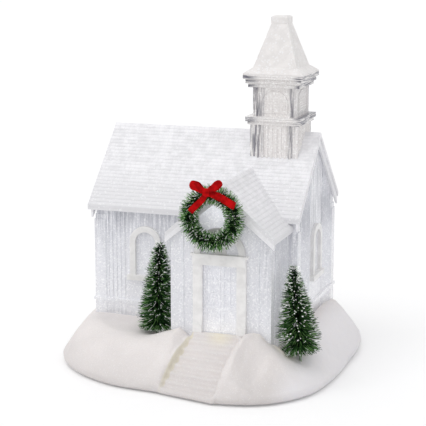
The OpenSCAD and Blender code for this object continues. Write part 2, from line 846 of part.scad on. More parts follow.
lead_z = plate_top + lead_r * 2;
module leads() color(red_colour) at_house() {
    board_left = board_x - board_w / 2;
    cell_lead_y = motor_y - 2 * motor_r;
    wire([
        [box_x + box_w / 2, cell_lead_y, lead_z], [board_x, cell_lead_y, lead_z],
        [board_x, board_y - board_d / 4, lead_z], [board_x, board_y - board_d / 4, board_z]
    ]);
    switch_lead_z = plate_top + switch_h / 2;
    wire([
        [switch_x, switch_y - switch_d / 2, switch_lead_z], [switch_x, board_y + board_d / 4, switch_lead_z],
        [switch_x, board_y + board_d / 4, board_z]
    ]);
    motor_lead_z = motor_z + motor_h - 2 * lead_r;
    turn_x = (motor_x + cup_r + board_left) / 2;
    wire([
        [motor_x + motor_r, motor_y, motor_lead_z], [turn_x, motor_y, motor_lead_z],
        [turn_x, motor_y, board_z + board_t / 2], [board_left, motor_y, board_z + board_t / 2]
    ]);
}

// Motor and drive

function cup_ears() = [for (side = [-1, 1]) [motor_x, motor_y + side * ear_off, 0]];

module motor_cup() color(plastic_colour) at_house() difference() {
    union() {
        translate([motor_x, motor_y, 0]) post(cup_r, cup_h, plate_top);
        for (p = cup_ears()) translate(p) post(cup_ear, cup_floor, plate_top);
    }
    translate([motor_x, motor_y, 0]) post(motor_r + fit_gap * 2, cup_h, motor_z);
    for (p = cup_ears()) translate(p) post(screw_r + fit_gap, cup_floor + 2 * over, plate_top - over);
}

module motor_cup_screws() color(steel_colour) at_house()
    for (p = cup_ears()) translate(p + [0, 0, motor_z]) rotate([180, 0, 0]) driven_screw(cup_floor + plate_t);

module motor() color(steel_colour) at_house() translate([motor_x, motor_y, 0]) difference() {
    post(motor_r, motor_h, motor_z);
    post(shaft_r + fit_gap, shaft_deep + over, motor_z + motor_h - shaft_deep);
}

module drive_shaft() color(steel_colour) at_house() translate([motor_x, motor_y, 0])
    post(shaft_r, disc_z + disc_h - motor_z - motor_h + shaft_deep - gap, motor_z + motor_h - shaft_deep + gap);

module magnets(z) for (side = [-1, 1]) translate([side * magnet_off, 0, 0]) post(magnet_r, magnet_h, z);

module drive_disc() color(plastic_colour) at_house() translate([motor_x, motor_y, 0]) difference() {
    union() {
        post(disc_r, disc_h, disc_z);
        post(hub_r, hub_h, disc_z - hub_h);
    }
    post(shaft_r + fit_gap / 5, disc_h + hub_h + 2 * over, disc_z - hub_h - over);
    for (side = [-1, 1]) translate([side * magnet_off, 0, 0])
        post(magnet_r + fit_gap / 5, magnet_h + over, disc_z + disc_h - magnet_h);
}

module drive_magnets() color(steel_colour) at_house() translate([motor_x, motor_y, 0])
    magnets(disc_z + disc_h - magnet_h);

// Water tank

tank_in_x = nave_l / 2 - wall_t;
tank_in_y = nave_d / 2 - wall_t;
function tank_screws() = concat(
    [for (sy = [-1, 1], k = [0:tank_screws_long]) [
        (k / tank_screws_long - 1 / 2) * 2 * (tank_in_x - tank_screw_in), sy * (tank_in_y - tank_screw_in), 0]],
    [for (sx = [-1, 1]) [sx * (tank_in_x - tank_screw_in), 0, 0]]
);

module tank_floor() color(clear_colour) at_house() {
    difference() {
        block([-tank_in_x + gap, -tank_in_y + gap, floor_z], [tank_in_x - gap, tank_in_y - gap, floor_top]);
        for (p = tank_screws()) translate(p) post(screw_r + screw_hole_gap, floor_t + 2 * over, floor_z - over);
        translate([plug_x, plug_y, 0]) post(plug_r + fit_gap / 5, floor_t + 2 * over, floor_z - over);
        translate([motor_x, motor_y, 0]) post(pin_r + fit_gap / 5, pin_deep + over, floor_top - pin_deep);
    }
}

module tank_gasket() color(dark_colour) at_house() difference() {
    block([-tank_in_x + gap, -tank_in_y + gap, floor_top], [tank_in_x - gap, tank_in_y - gap, floor_top + gasket_t]);
    block([-tank_in_x + gasket_w, -tank_in_y + gasket_w, floor_top - over],
        [tank_in_x - gasket_w, tank_in_y - gasket_w, floor_top + gasket_t + over]);
    for (p = tank_screws()) translate(p) post(screw_r + fit_gap, gasket_t + 2 * over, floor_top - over);
}

module tank_floor_screws() color(steel_colour) at_house()
    for (p = tank_screws()) translate(p + [0, 0, floor_z]) driven_screw(tank_screw_l);

module fill_plug() color(dark_colour) at_house() translate([plug_x, plug_y, 0]) {
    post(plug_r, floor_t, floor_z);
    post(plug_r + plug_flange, plug_flange_h, floor_z - plug_flange_h);
}

module impeller_pin() color(steel_colour) at_house() translate([motor_x, motor_y, 0]) {
    post(pin_r, pin_deep + impeller_lift + impeller_h - gap, floor_top - pin_deep);
    post(collar_r, impeller_lift - gap, floor_top);
}

module impeller() color(plastic_colour) at_house() translate([motor_x, motor_y, floor_top + impeller_lift]) difference() {
    union() {
        post(impeller_r, impeller_disc_h, 0);
        post(hub_r, impeller_h + over, 0);
        for (k = [0:blade_count - 1]) rotate([0, 0, 360 / blade_count * k])
            block([0, -blade_t / 2, 0], [impeller_r, blade_t / 2, impeller_h]);
    }
    post(pin_r + fit_gap, impeller_h + over, -over);
    for (side = [-1, 1]) translate([side * magnet_off * cos(45), side * magnet_off * sin(45), 0])
        post(magnet_r + fit_gap / 5, magnet_h + over, -over);
}

module impeller_magnets() color(steel_colour) at_house()
    translate([motor_x, motor_y, floor_top + impeller_lift]) rotate([0, 0, 45]) magnets(0);

module impeller_guard() color(clear_colour) at_house() translate([motor_x, motor_y, floor_top]) difference() {
    union() {
        post(guard_r + guard_t, guard_h, 0);
        post(guard_r + guard_t + guard_foot, guard_foot, 0);
    }
    post(guard_r, guard_h - guard_top_t + over, -over);
    post(guard_r / 2, guard_h + over, 0);
    for (k = [0:guard_slots - 1]) rotate([0, 0, 360 / guard_slots * k])
        block([guard_r - over, -guard_slot_w / 2, guard_foot * 2], [guard_r + guard_t + over, guard_slot_w / 2, guard_h - guard_top_t * 2]);
}

// Nave

module nave_profile(half, low) polygon([
    [-half, low], [half, low], [half, nave_under(half)], [0, nave_under(0)], [-half, nave_under(half)]
]);

// The room that a window and its sill need between the ribs, each way from the window's middle
window_room = window_r + sill_over + rib_w;
nave_bare = [
    [[porch_x - porch_w / 2 - rib_p, nave_l], [front_window_x - window_room, front_window_x + window_room]],
    [[-window_room, window_room]],
    [for (k = [-1:1]) [k * back_window_off - window_room, k * back_window_off + window_room]],
    [[-window_room, window_room]]
];

module nave_walls() color(clear_colour) at_house() {
    difference() {
        union() {
            intersection() {
                translate([0, 0, deck_z]) linear_extrude(ridge_z - deck_z)
                    ribbed([nave_l, nave_d], rib_p, rib_edge, rib_w, rib_h, nave_bare);
                along_x(nave_l + 2 * rib_h) nave_profile(nave_d / 2 + rib_h, deck_z);
            }
            for (sx = [-1, 1], sy = [-1, 1]) buttress(sx, sy);
            plinth();
        }
        block([-tank_in_x, -tank_in_y, deck_z - over], [tank_in_x, tank_in_y, floor_top + gasket_t]);
        intersection() {
            block([-tank_in_x, -tank_in_y, floor_top + gasket_t + ledge_t], [tank_in_x, tank_in_y, ridge_z]);
            along_x(nave_l) polygon([
                [-tank_in_y, floor_top], [tank_in_y, floor_top], [tank_in_y, nave_under(tank_in_y) + over],
                [0, ridge_z], [-tank_in_y, nave_under(tank_in_y) + over]
            ]);
        }
        block([-tank_in_x + ledge_in, -tank_in_y + ledge_in, floor_top],
            [tank_in_x - ledge_in, tank_in_y - ledge_in, ridge_z - nave_d / 2 * nave_slope - roof_t]);
        for (p = tank_screws()) translate(p) post(screw_r + fit_gap, tank_screw_l, floor_z + over);
        at_porch() block([-porch_w / 2 - 2 * rib_h, -nave_d, deck_z - over], [porch_w / 2 + 2 * rib_h, -nave_d / 2, eave_z]);
    }
}

// Corner buttress: square, with two set-offs at its top
module buttress(sx, sy) {
    for (k = [0:1]) {
        out = buttress_h * (2 - k) / 2;
        translate([sx * (nave_l / 2 + out - buttress_w / 2), sy * (nave_d / 2 + out - buttress_w / 2), 0])
            slab(buttress_w, buttress_z + k * buttress_cap - deck_z, deck_z);
    }
}

module plinth() for (k = [0:1]) {
    out = k == 0 ? plinth_step : plinth_out;
    low = plinth_z + k * plinth_low;
    block([-nave_l / 2 - out, -nave_d / 2 - out, low], [nave_l / 2 + out, nave_d / 2 + out, low + plinth_h - plinth_low]);
}

module nave_roof() color(frost_colour) at_house() difference() {
    translate([roof_shift, 0, 0]) along_x(nave_l + 2 * gable_over) shingled(nave_half, nave_courses, nave_slope, ridge_z);
    translate([tower_x, 0, 0]) slab(shaft_w - 4 * shaft_t, ridge_z, 0);
}

module gable_trim(side) mirror([side < 0 ? 1 : 0, 0, 0]) translate([nave_l / 2 + rib_h, 0, 0]) rotate([90, 0, 90])
    linear_extrude(trim_t) polygon([
        [0, nave_under(0)], [nave_half, nave_under(nave_half)], [nave_half, nave_under(nave_half) - trim_d],
        [0, nave_under(0) - trim_d], [-nave_half, nave_under(nave_half) - trim_d], [-nave_half, nave_under(nave_half)]
    ]);
module left_gable_trim() color(frost_colour) at_house() gable_trim(-1);
module right_gable_trim() color(frost_colour) at_house() gable_trim(1);

// An arched frame with a sill, standing out of the plane y = 0 towards the front
module window_frame() {
    forwards(0, window_frame_t) difference() {
        arch(window_r, window_sill_z, window_spring_z);
        arch(window_r - window_frame_w, window_sill_z - over, window_spring_z);
    }
    block([-window_r - sill_over, -sill_t, window_sill_z - sill_h], [window_r + sill_over, 0, window_sill_z]);
}
module front_window() color(trim_colour) at_house() translate([front_window_x, -nave_d / 2, 0]) window_frame();
module left_window() color(trim_colour) at_house() rotate([0, 0, -90]) translate([0, -nave_l / 2, 0]) window_frame();
module right_window() color(trim_colour) at_house() rotate([0, 0, 90]) translate([0, -nave_l / 2, 0]) window_frame();
module back_windows() color(trim_colour) at_house() rotate([0, 0, 180])
    for (k = [-1:1]) translate([k * back_window_off, -nave_d / 2, 0]) window_frame();

// Porch

module at_porch() translate([porch_x, 0, 0]) children();

module porch_walls() color(clear_colour) at_house() difference() {
    at_porch() intersection() {
        translate([0, -porch_front, deck_z]) linear_extrude(porch_ridge_z - deck_z)
            translate([0, (porch_front - nave_d / 2) / 2])
                ribbed([porch_w, porch_front - nave_d / 2], rib_p, rib_edge, rib_w, rib_h,
                    [[[-fan_r - post_w, fan_r + post_w]], [], [[-porch_w, porch_w]], []]);
        forwards(-nave_d / 2, porch_front) polygon([
            [-porch_w / 2 - rib_h, deck_z], [porch_w / 2 + rib_h, deck_z],
            [porch_w / 2 + rib_h, porch_under(porch_w / 2 + rib_h)], [0, porch_under(0)],
            [-porch_w / 2 - rib_h, porch_under(porch_w / 2 + rib_h)]
        ]);
    }
    at_porch() {
        block([-porch_w / 2 + wall_t, -porch_front + wall_t, deck_z - over], [porch_w / 2 - wall_t, over, ridge_z]);
        block([-door_w / 2, -porch_front - over, landing_z], [door_w / 2, -porch_front + wall_t + over, landing_z + door_h]);
    }
    nave_envelope();
}

module porch_roof() color(frost_colour) at_house() difference() {
    at_porch() forwards(-porch_back, porch_front + porch_out - porch_back)
        shingled(porch_half, porch_courses, porch_slope, porch_ridge_z);
    nave_envelope();
}

module porch_bargeboard() color(frost_colour) at_house() at_porch() forwards(-porch_front - porch_out + barge_t, barge_t)
    polygon([
        [0, porch_under(0)], [porch_half, porch_under(porch_half)], [porch_half, porch_under(porch_half) - barge_d / 2],
        [0, porch_under(0) - barge_d],
        [-porch_half, porch_under(porch_half) - barge_d / 2], [-porch_half, porch_under(porch_half)]
    ]);

lintel_z = landing_z + door_h;
lintel_top = lintel_z + lintel_h;
module door_surround() color(trim_colour) at_house() at_porch() translate([0, -porch_front, 0]) {
    for (side = [-1, 1]) mirror([side < 0 ? 1 : 0, 0, 0]) {
        block([door_w / 2, -post_t, landing_z], [door_w / 2 + post_w, 0, lintel_z]);
        block([door_w / 2, -base_block_t, landing_z], [door_w / 2 + post_w, 0, landing_z + base_block_h]);
    }
    block([-door_w / 2 - post_w, -lintel_t, lintel_z], [door_w / 2 + post_w, 0, lintel_top]);
    block([-door_w / 2 - post_w - lintel_over, -lintel_t, lintel_top - lintel_cap_h],
        [door_w / 2 + post_w + lintel_over, 0, lintel_top]);
}

module door_fanlight() color(trim_colour) at_house() at_porch() {
    forwards(-porch_front, fan_t) difference() {
        half_disc(fan_r, lintel_top);
        translate([0, lintel_top]) circle(fan_r - fan_w);
    }
    forwards(-porch_front, fan_bar_t) {
        intersection() {
            half_disc(fan_r - fan_w / 2, lintel_top);
            for (k = [1:fan_bars - 1]) translate([0, lintel_top]) rotate(180 / fan_bars * k)
                translate([0, -fan_bar_w / 2]) square([fan_r, fan_bar_w]);
        }
        half_disc(fan_hub_r, lintel_top);
    }
}

// One door leaf with two sunk panels, its meeting edge at x = 0 and running towards +X
module door_leaf() {
    w = door_w / 2 - 2 * leaf_gap;
    h = door_h - 2 * leaf_gap;
    split = h * leaf_lower_share;
    translate([leaf_gap, -porch_front + leaf_in, landing_z + leaf_gap]) difference() {
        block([0, 0, 0], [w, leaf_t, h]);
        block([leaf_rail, -over, leaf_rail], [w - leaf_rail, leaf_sink, split - leaf_rail / 2]);
        row = (h - split - leaf_rail * 3 / 2 - leaf_bar_w * (leaf_rows - 1)) / leaf_rows;
        column = (w - 2 * leaf_rail - leaf_bar_w) / 2;
        for (r = [0:leaf_rows - 1], c = [0:1])
            translate([leaf_rail + c * (column + leaf_bar_w), 0, split + leaf_rail / 2 + r * (row + leaf_bar_w)])
                block([0, -over, 0], [column, leaf_sink, row]);
    }
}
module left_door_leaf() color(clear_colour) at_house() at_porch() mirror([1, 0, 0]) door_leaf();
module right_door_leaf() color(clear_colour) at_house() at_porch() door_leaf();

// Tower

module at_tower() at_house() translate([tower_x, 0, 0]) children();

module tower_shaft() color(clear_colour) difference() {
    at_tower() difference() {
        translate([0, 0, nave_top(shaft_w)]) linear_extrude(shaft_top_z - nave_top(shaft_w))
            ribbed([shaft_w, shaft_w], shaft_rib_p, shaft_edge, shaft_rib_w, shaft_rib_h, [[], [], [], []]);
        slab(shaft_w - 2 * shaft_t, ridge_z, nave_top(shaft_w) - over);
    }
    at_house() nave_envelope();
}

module shaft_cornice() color(clear_colour) at_tower() difference() {
    union() {
        slab(cornice_low_w, cornice_low_h, shaft_top_z);
        slab(cornice_w, cornice_h - cornice_low_h, shaft_top_z + cornice_low_h);
    }
    slab(cornice_bore, cornice_h + 2 * over, shaft_top_z - over);
}

module each_face() for (turn = [0:3]) rotate([0, 0, 90 * turn]) children();

module belfry() color(clear_colour) at_tower() difference() {
    union() {
        slab(belfry_w, belfry_h, belfry_z);
        for (sx = [-1, 1], sy = [-1, 1])
            translate([sx * (belfry_w / 2 + post_strip_t - post_strip_w / 2), sy * (belfry_w / 2 + post_strip_t - post_strip_w / 2), 0])
                slab(post_strip_w, belfry_h, belfry_z);
    }
    slab(belfry_w - 2 * belfry_t, belfry_h + 2 * over, belfry_z - over);
    each_face() forwards(-belfry_w / 2 + panel_sink, panel_sink + over)
        arch(panel_w / 2, belfry_z + panel_low, belfry_z + panel_spring);
}

module belfry_panels() color(frost_colour) at_tower() each_face() {
    forwards(-belfry_w / 2 + panel_sink, panel_t)
        arch(panel_w / 2 - gap, belfry_z + panel_low + gap, belfry_z + panel_spring);
    for (k = [1:panel_slats])
        block([-panel_w / 2 + 2 * slat_h, -belfry_w / 2 + panel_sink - panel_t - slat_t, belfry_z + panel_low + 2 * slat_h * k],
            [panel_w / 2 - 2 * slat_h, -belfry_w / 2 + panel_sink - panel_t, belfry_z + panel_low + 2 * slat_h * k + slat_h]);
}

module belfry_cornice() color(clear_colour) at_tower() difference() {
    union() {
        slab(crown_low_w, crown_low_h, crown_z);
        slab(crown_mid_w, crown_mid_h, crown_z + crown_low_h);
        slab(spire_w, crown_top_h, crown_z + crown_low_h + crown_mid_h);
    }
    slab(crown_bore, crown_h + 2 * over, crown_z - over);
}

// A square tapering block, from one width to another
module taper(w_low, w_high, h, z) translate([0, 0, z])
    linear_extrude(height = h, scale = w_high / w_low) square(w_low, center = true);

module spire() color(frost_colour) at_tower() difference() {
    union() {
        slab(spire_w, spire_lip, spire_z);
        taper(spire_w, flare_w, flare_h - spire_lip, spire_z + spire_lip);
        taper(flare_w, spire_top_w, spire_h - flare_h, spire_z + flare_h);
    }
    taper(flare_w - 2 * spire_t, spire_top_w - 2 * spire_t, spire_h - flare_h, spire_z - over);
}

module spire_cap() color(frost_colour) at_tower() {
    slab(cap_w, cap_h - cap_round, spire_z + spire_h);
    taper(cap_w, cap_w - 2 * cap_round, cap_round, spire_z + spire_h + cap_h - cap_round);
}

// Greenery

// Brush radius up a tree: rounded at its foot and tapering to its tip
function tree_r(share, r) = share < tree_round_share
    ? r * (1 - (1 - share / tree_round_share) * (1 - share / tree_round_share) / 3)
    : tree_tip_r + (r - tree_tip_r) * pow((1 - share) / (1 - tree_round_share), tree_taper_share);

// A brush on a straight wire: each facet of the wire's surface rises into one strand
module brush_tree(h, r) {
    n = tree_sides;
    m = tree_rows;
    ring = [for (j = [0:m], k = [0:n - 1]) let (a = 360 * (k + j / 2) / n)
        [core_r * cos(a), core_r * sin(a), h * j / (m + 1)]];
    tips = [for (j = [0:m - 1], k = [0:n - 1])
        let (a = 360 * (k + j / 2 + 3 / 4) / n, reach = tree_r((j + 1 / 2) / m, r))
            [reach * cos(a), reach * sin(a), h * (j + 1 / 2) / (m + 1) - tree_droop * (1 - j / m) + tree_droop * j / m]];
    top = (m + 1) * n;
    ends = [[0, 0, 0], [0, 0, h]];
    first_tip = top + 2;
    faces = concat(
        [for (k = [0:n - 1]) [top, k, (k + 1) % n]],
        [for (k = [0:n - 1]) [m * n + (k + 1) % n, m * n + k, top + 1]],
        [for (j = [0:m - 1], k = [0:n - 1], side = [0:3])
            let (
                a = j * n + k, b = j * n + (k + 1) % n,
                corner = [a, a + n, b + n, b],
                tip = first_tip + j * n + k
            )
            [corner[side], corner[(side + 1) % 4], tip]]
    );
    polyhedron(points = concat(ring, ends, tips), faces = faces);
}

module at_left_tree() translate(left_tree_at) rotate([0, left_lean, 0]) children();
module at_right_tree() translate(right_tree_at) rotate([0, right_lean, 0]) children();
module left_tree() color(green_colour) at_house() at_left_tree() brush_tree(left_tree_h, left_tree_r);
module right_tree() color(green_colour) at_house() at_right_tree() brush_tree(right_tree_h, right_tree_r);
module left_tree_stem() color(steel_colour) at_house() at_left_tree() post(stem_r, stem_deep, -stem_deep);
module right_tree_stem() color(steel_colour) at_house() at_right_tree() post(stem_r, stem_deep, -stem_deep);

// A brush on a ring of wire, standing upright and facing the front
module wreath() color(green_colour) at_house() at_wreath() {
    n = wreath_sides;
    m = wreath_steps;
    big = wreath_r - wreath_brush_r;
    ring = [for (j = [0:m - 1], k = [0:n - 1])
        let (a = 360 * j / m, b = 360 * k / n + 45, reach = big + wreath_core_r * cos(b))
            [reach * cos(a), wreath_core_r * sin(b), reach * sin(a)]];
    tips = [for (j = [0:m - 1], k = [0:n - 1])
        let (a = 360 * (j + 1 / 2) / m, b = 360 * (k + 1 / 2) / n + 45, reach = big + wreath_brush_r * cos(b))
            [reach * cos(a), wreath_brush_r * sin(b), reach * sin(a)]];
    faces = [for (j = [0:m - 1], k = [0:n - 1], side = [0:3])
        let (
            next = (j + 1) % m,
            corner = [j * n + k, j * n + (k + 1) % n, next * n + (k + 1) % n, next * n + k]
        )
        [corner[(side + 1) % 4], corner[side], m * n + j * n + k]];
    polyhedron(points = concat(ring, tips), faces = faces);
}

module at_wreath() translate([porch_x + wreath_x, -porch_front - wreath_y, wreath_z]) children();

module wreath_hanger() color(steel_colour) at_house()
    translate([porch_x + wreath_x, -porch_front - porch_out, wreath_z + wreath_r - wreath_brush_r])
        rotate([90, 0, 0]) cylinder(r = hanger_r, h = hanger_l);

// One loop of ribbon standing on edge, from the knot at the origin outwards at an angle
module ribbon_loop(angle) rotate([0, -angle, 0]) translate([0, 0, -ribbon_w / 2]) linear_extrude(ribbon_w)
    translate([loop_l / 2, 0]) difference() {
        scale([loop_l / loop_d, 1]) circle(loop_d / 2);
        scale([(loop_l - 2 * ribbon_t) / (loop_d - 2 * ribbon_t), 1]) circle(loop_d / 2 - ribbon_t);
    }

// One tail of ribbon, flat against the wreath
module ribbon_tail(angle, l) rotate([0, -angle, 0])
    block([0, loop_d / 2 - tail_lift - ribbon_t, -ribbon_w / 2], [l, loop_d / 2 - tail_lift, ribbon_w / 2]);

module ribbon_bow() color(red_colour) at_house() at_wreath() translate([bow_x, -bow_y - loop_d / 2, bow_z]) {
    ribbon_loop(left_loop_angle);
    ribbon_loop(right_loop_angle);
    ribbon_tail(left_tail_angle, left_tail_l);
    ribbon_tail(right_tail_angle, right_tail_l);
    block([-knot_w / 2, -knot_t / 2, -knot_h / 2], [knot_w / 2, knot_t / 2, knot_h / 2]);
}

snow_base();
base_plate();
base_plate_screws();
rubber_feet();
battery_box();
battery_cells();
battery_contacts();
battery_springs();
battery_door();
switch_housing();
switch_slider();
circuit_board();
board_screws();
board_components();
led_lamps();
leads();
motor_cup();
motor_cup_screws();
motor();
drive_shaft();
drive_disc();
drive_magnets();
tank_floor();
tank_gasket();
tank_floor_screws();
fill_plug();
impeller_pin();
impeller();
impeller_magnets();
impeller_guard();
nave_walls();
nave_roof();
left_gable_trim();
right_gable_trim();
front_window();
left_window();
right_window();
back_windows();
porch_walls();
porch_roof();
porch_bargeboard();
door_surround();
door_fanlight();
left_door_leaf();
right_door_leaf();
tower_shaft();
shaft_cornice();
belfry();
belfry_panels();
belfry_cornice();
spire();
spire_cap();
wreath();
wreath_hanger();
ribbon_bow();
left_tree();
left_tree_stem();
right_tree();
right_tree_stem();
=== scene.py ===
"""Lit winter church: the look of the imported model, laid out as a Blender add-on."""

import math

import bmesh
import bpy
import numpy as np
from bpy.props import FloatProperty, FloatVectorProperty, IntProperty, PointerProperty
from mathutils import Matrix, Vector, noise
from mathutils.bvhtree import BVHTree


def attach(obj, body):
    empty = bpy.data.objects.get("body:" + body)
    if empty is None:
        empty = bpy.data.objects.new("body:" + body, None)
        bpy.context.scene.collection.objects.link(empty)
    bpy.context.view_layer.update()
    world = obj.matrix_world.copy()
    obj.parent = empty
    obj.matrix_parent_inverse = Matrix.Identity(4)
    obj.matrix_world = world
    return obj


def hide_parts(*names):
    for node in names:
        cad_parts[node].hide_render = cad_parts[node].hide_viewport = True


bl_info = {
    "name": "Lit Winter Church",
    "version": (1, 0, 0),
    "blender": (4, 5, 0),
    "location": "View3D > Sidebar > Winter Church",
    "description": "Dresses a small lit church with clear walls, frosted roofs, snow and brush greens",
    "category": "Object",
}

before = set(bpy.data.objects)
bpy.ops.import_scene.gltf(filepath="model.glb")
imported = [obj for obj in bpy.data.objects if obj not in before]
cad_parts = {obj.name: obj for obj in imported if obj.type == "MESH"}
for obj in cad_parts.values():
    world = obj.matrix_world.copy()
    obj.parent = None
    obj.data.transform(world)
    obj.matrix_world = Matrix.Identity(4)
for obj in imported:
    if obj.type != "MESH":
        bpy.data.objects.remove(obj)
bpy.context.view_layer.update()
MM = 0.001
BODY = "church"

# The middles of the pieces, in millimetres of the frame
HOUSE = Vector((-2.5, 28.0, 0.0))
TOWER = Vector((49.5, 28.0, 0.0))
WREATH = Vector((32.2, -84.0, 127.6))
BOW = Vector((31.8, -93.75, 148.0))
LEFT_TREE = Vector((-20.9, -56.0, 32.4))
RIGHT_TREE = Vector((91.5, -60.0, 29.6))

# Half the nave's length and depth; the porch's left and right side and its front
HALF_NAVE = (80.8, 53.0)
PORCH = (-1.5 + HOUSE.x, 75.5 + HOUSE.x, -71.5)

# The stairs: their middle and start, from the house's middle, their width, and how far they come forward at the
# left and at the right. On the way down they widen and step to the left.
STAIR_X, STAIR_Y, STAIR_WIDTH = 37, 99.5, 37
STAIR_REACH = (37.0, 47.0)
WIDENING, SIDESTEP = 7, 12
# Their left cheek: how x goes with y along it, and its x at y = 0
CHEEK = (15.5 / 37, 46.4)

# How acrylic and frosted plastic bend light
ACRYLIC_IOR = 1.45
# How wide a shingle is, in millimetres
SHINGLE = 4.2
# How far apart the rings on the cells' sleeves are, in millimetres
CELL_RINGS = 50
# White glitter specks on frosted plastic, painted as glints
FROST_GLINT = (0.98, 0.98, 1.0)

# The snow's rim keeps its shape up to the first height, and above it the banks rise over the second
RIM, RIM_EASE = 3, 5
# The height above which it is the bed of the house, how far from the house's middle that bed reaches at the sides,
# and the y behind which there are no drifts
SHELF, HOUSE_EDGE, BACK_EDGE = 26, 86, 95
# Where it is banked up against the porch: x, y, the height, and how far it reaches along x and y
BANKS = [(75, -79, 8.0, 15, 12), (0, -78, 6.5, 14, 11)]
# Where a warm glow of the lamps is painted on it: x, y, z and how far
GLOWS = [(-13, -58, 34, 14), (80, -64, 31, 16), (-4, -70, 38, 10), (36, -76, 41, 15), (62, -74, 36, 10)]

# Brushes: where the strands leave the wire, the strands of a tree's crown, and the slots of the finishes
CORE = 0.5
CROWN = 60
ROOT, GREEN, TIP, SNOWY = range(4)

# The view: what the camera looks at, its turn and rise in degrees, and its sensor in millimetres
LOOK_AT = Vector((-6, 28, 107.1))
VIEW_TURN, VIEW_RISE = 19.3, 11.7
SENSOR = 36
# Half the floor's side, and how far the camera sees, in metres
HALF_FLOOR, FAR = 9, 100
# The sun's way, and its spread in degrees
SUN_WAY, SUN_SPREAD = Vector((0.42, 0.70, -1.2)), 50


def colour(name, text, value):
    return FloatVectorProperty(name=name, description=text, subtype="COLOR", size=3, min=0, max=1, default=value)


def length(name, text, value):
    return FloatProperty(name=name, description=text, unit="LENGTH", default=value * MM, min=0, precision=5)


def count(name, text, value):
    return IntProperty(name=name, description=text, default=value, min=0)


class ChurchColours(bpy.types.PropertyGroup):
    """Colours of the finishes"""

    snow: colour("Snow", "Cast snow of the base", (0.828, 0.785, 0.774))
    # Snow glow is a painted warm glow, for the lamps' light on the snow
    snow_glow: colour("Snow glow", "Snow where the lamps shine through it", (0.84, 0.785, 0.63))
    clear: colour("Clear", "Clear crackled walls", (0.88, 0.885, 0.92))
    # Clear shade and tower shade are painted shade: the dark streaks that thick acrylic shows near its edges and
    # corners
    clear_shade: colour("Clear shade", "Dark streaks in the clear walls", (0.26, 0.27, 0.33))
    tower: colour("Tower", "Clear walls of the tower", (0.90, 0.875, 0.865))
    tower_shade: colour("Tower shade", "Dark streaks at the tower's corners", (0.13, 0.13, 0.17))
    frost: colour("Frost", "Frosted roofs", (0.90, 0.895, 0.92))
    trim: colour("Trim", "Window frames and door surround", (0.88, 0.87, 0.865))
    # Dark green is painted shade on the strands near the wire
    green_dark: colour("Dark green", "Brush near its wire", (0.008, 0.034, 0.010))
    green: colour("Green", "Brush strands", (0.016, 0.085, 0.012))
    green_light: colour("Light green", "Tips of the brush strands", (0.20, 0.42, 0.12))
    ribbon: colour("Ribbon", "Flocked ribbon", (0.46, 0.004, 0.005))


class ChurchSizes(bpy.types.PropertyGroup):
    """Sizes of the pieces that are made here"""

    snow_grid: length("Snow grid", "Size of the faces of the snow", 1.1)
    snow_lump: length("Snow lumps", "Height of the small lumps in the snow", 0.45)
    snow_drift: length("Snow drifts", "Height of the broad drifts in the snow", 2.2)
    bank_crest: length("Bank crest", "Height of the rounded crests along the stairs", 4.0)
    tree_strands: count("Tree strands", "Strands on each brush tree", 3000)
    wreath_strands: count("Wreath strands", "Strands on the wreath", 3400)
    strand: length("Strand", "Radius of a brush strand at its root", 0.25)
    flakes: count("Glitter flakes", "Flakes of glitter behind the clear walls", 2600)
    flake: length("Flake", "Radius of a flake of glitter", 0.55)
    ribbon: length("Ribbon", "Width of the ribbon", 5.7)


class ChurchLight(bpy.types.PropertyGroup):
    """Light and view"""

    sky: FloatProperty(name="Sky", description="Even light from all sides", default=0.76, min=0)
    key: FloatProperty(name="Key", description="Wide soft sun at the upper left", default=0.80, min=0)
    floor: FloatProperty(name="Floor", description="Extra white of the floor as it is seen", default=0.17, min=0)
    lens: FloatProperty(name="Lens", description="Focal length in millimetres", default=118.3, min=1)
    away: length("Distance", "Distance of the camera", 1113)


def colours():
    return bpy.context.scene.church_colours


def sizes():
    return bpy.context.scene.church_sizes


# Shader nodes


def add(tree, kind, sockets=None, **settings):
    """One shader node; a socket takes a value, or the output that feeds it."""
    made = tree.nodes.new(kind)
    for name, value in settings.items():
        setattr(made, name, value)
    for name, value in (sockets or {}).items():
        feed(tree, made.inputs[name], value)
    return made


def feed(tree, socket, value):
    if isinstance(value, bpy.types.NodeSocket):
        tree.links.new(value, socket)
    elif hasattr(value, "__len__") and len(socket.default_value) == 4:
        socket.default_value = (*value[:3], 1)
    else:
        socket.default_value = value


def calc(tree, operation, first, second=0.0, third=0.0):
    made = tree.nodes.new("ShaderNodeMath")
    made.operation = operation
    for socket, value in zip(made.inputs, (first, second, third)):
        feed(tree, socket, value)
    return made.outputs[0]


def times(tree, first, second):
    return calc(tree, "MULTIPLY", first, second)


def plus(tree, first, second):
    return calc(tree, "ADD", first, second)


def minus(tree, first, second):
    return calc(tree, "SUBTRACT", first, second)


def between(tree, value, low, high):
    """0 at low, 1 at high and smooth in between."""
    made = add(tree, "ShaderNodeMapRange", interpolation_type="SMOOTHSTEP")
    feed(tree, made.inputs[0], value)
    made.inputs[1].default_value = low
    made.inputs[2].default_value = high
    return made.outputs[0]


def within(tree, place, low, high):
    """The same for a place in metres and limits in millimetres."""
    return between(tree, place, low * MM, high * MM)


def blend(tree, share, first, second):
    """The first colour, turning into the second as the share goes from 0 to 1."""
    made = add(tree, "ShaderNodeMix", data_type="RGBA")
    feed(tree, made.inputs[0], share)
    feed(tree, made.inputs[6], first)
    feed(tree, made.inputs[7], second)
    return made.outputs[2]


def toned(base, factor):
    """A colour made darker or lighter."""
    return [min(1, c * factor) for c in base]


def mottled(tree, soft, base, dark, light, low=0.3, high=0.7):
    """A colour that wanders between two tones as a soft pattern goes from low to high."""
    return blend(tree, between(tree, soft, low, high), toned(base, dark), toned(base, light))


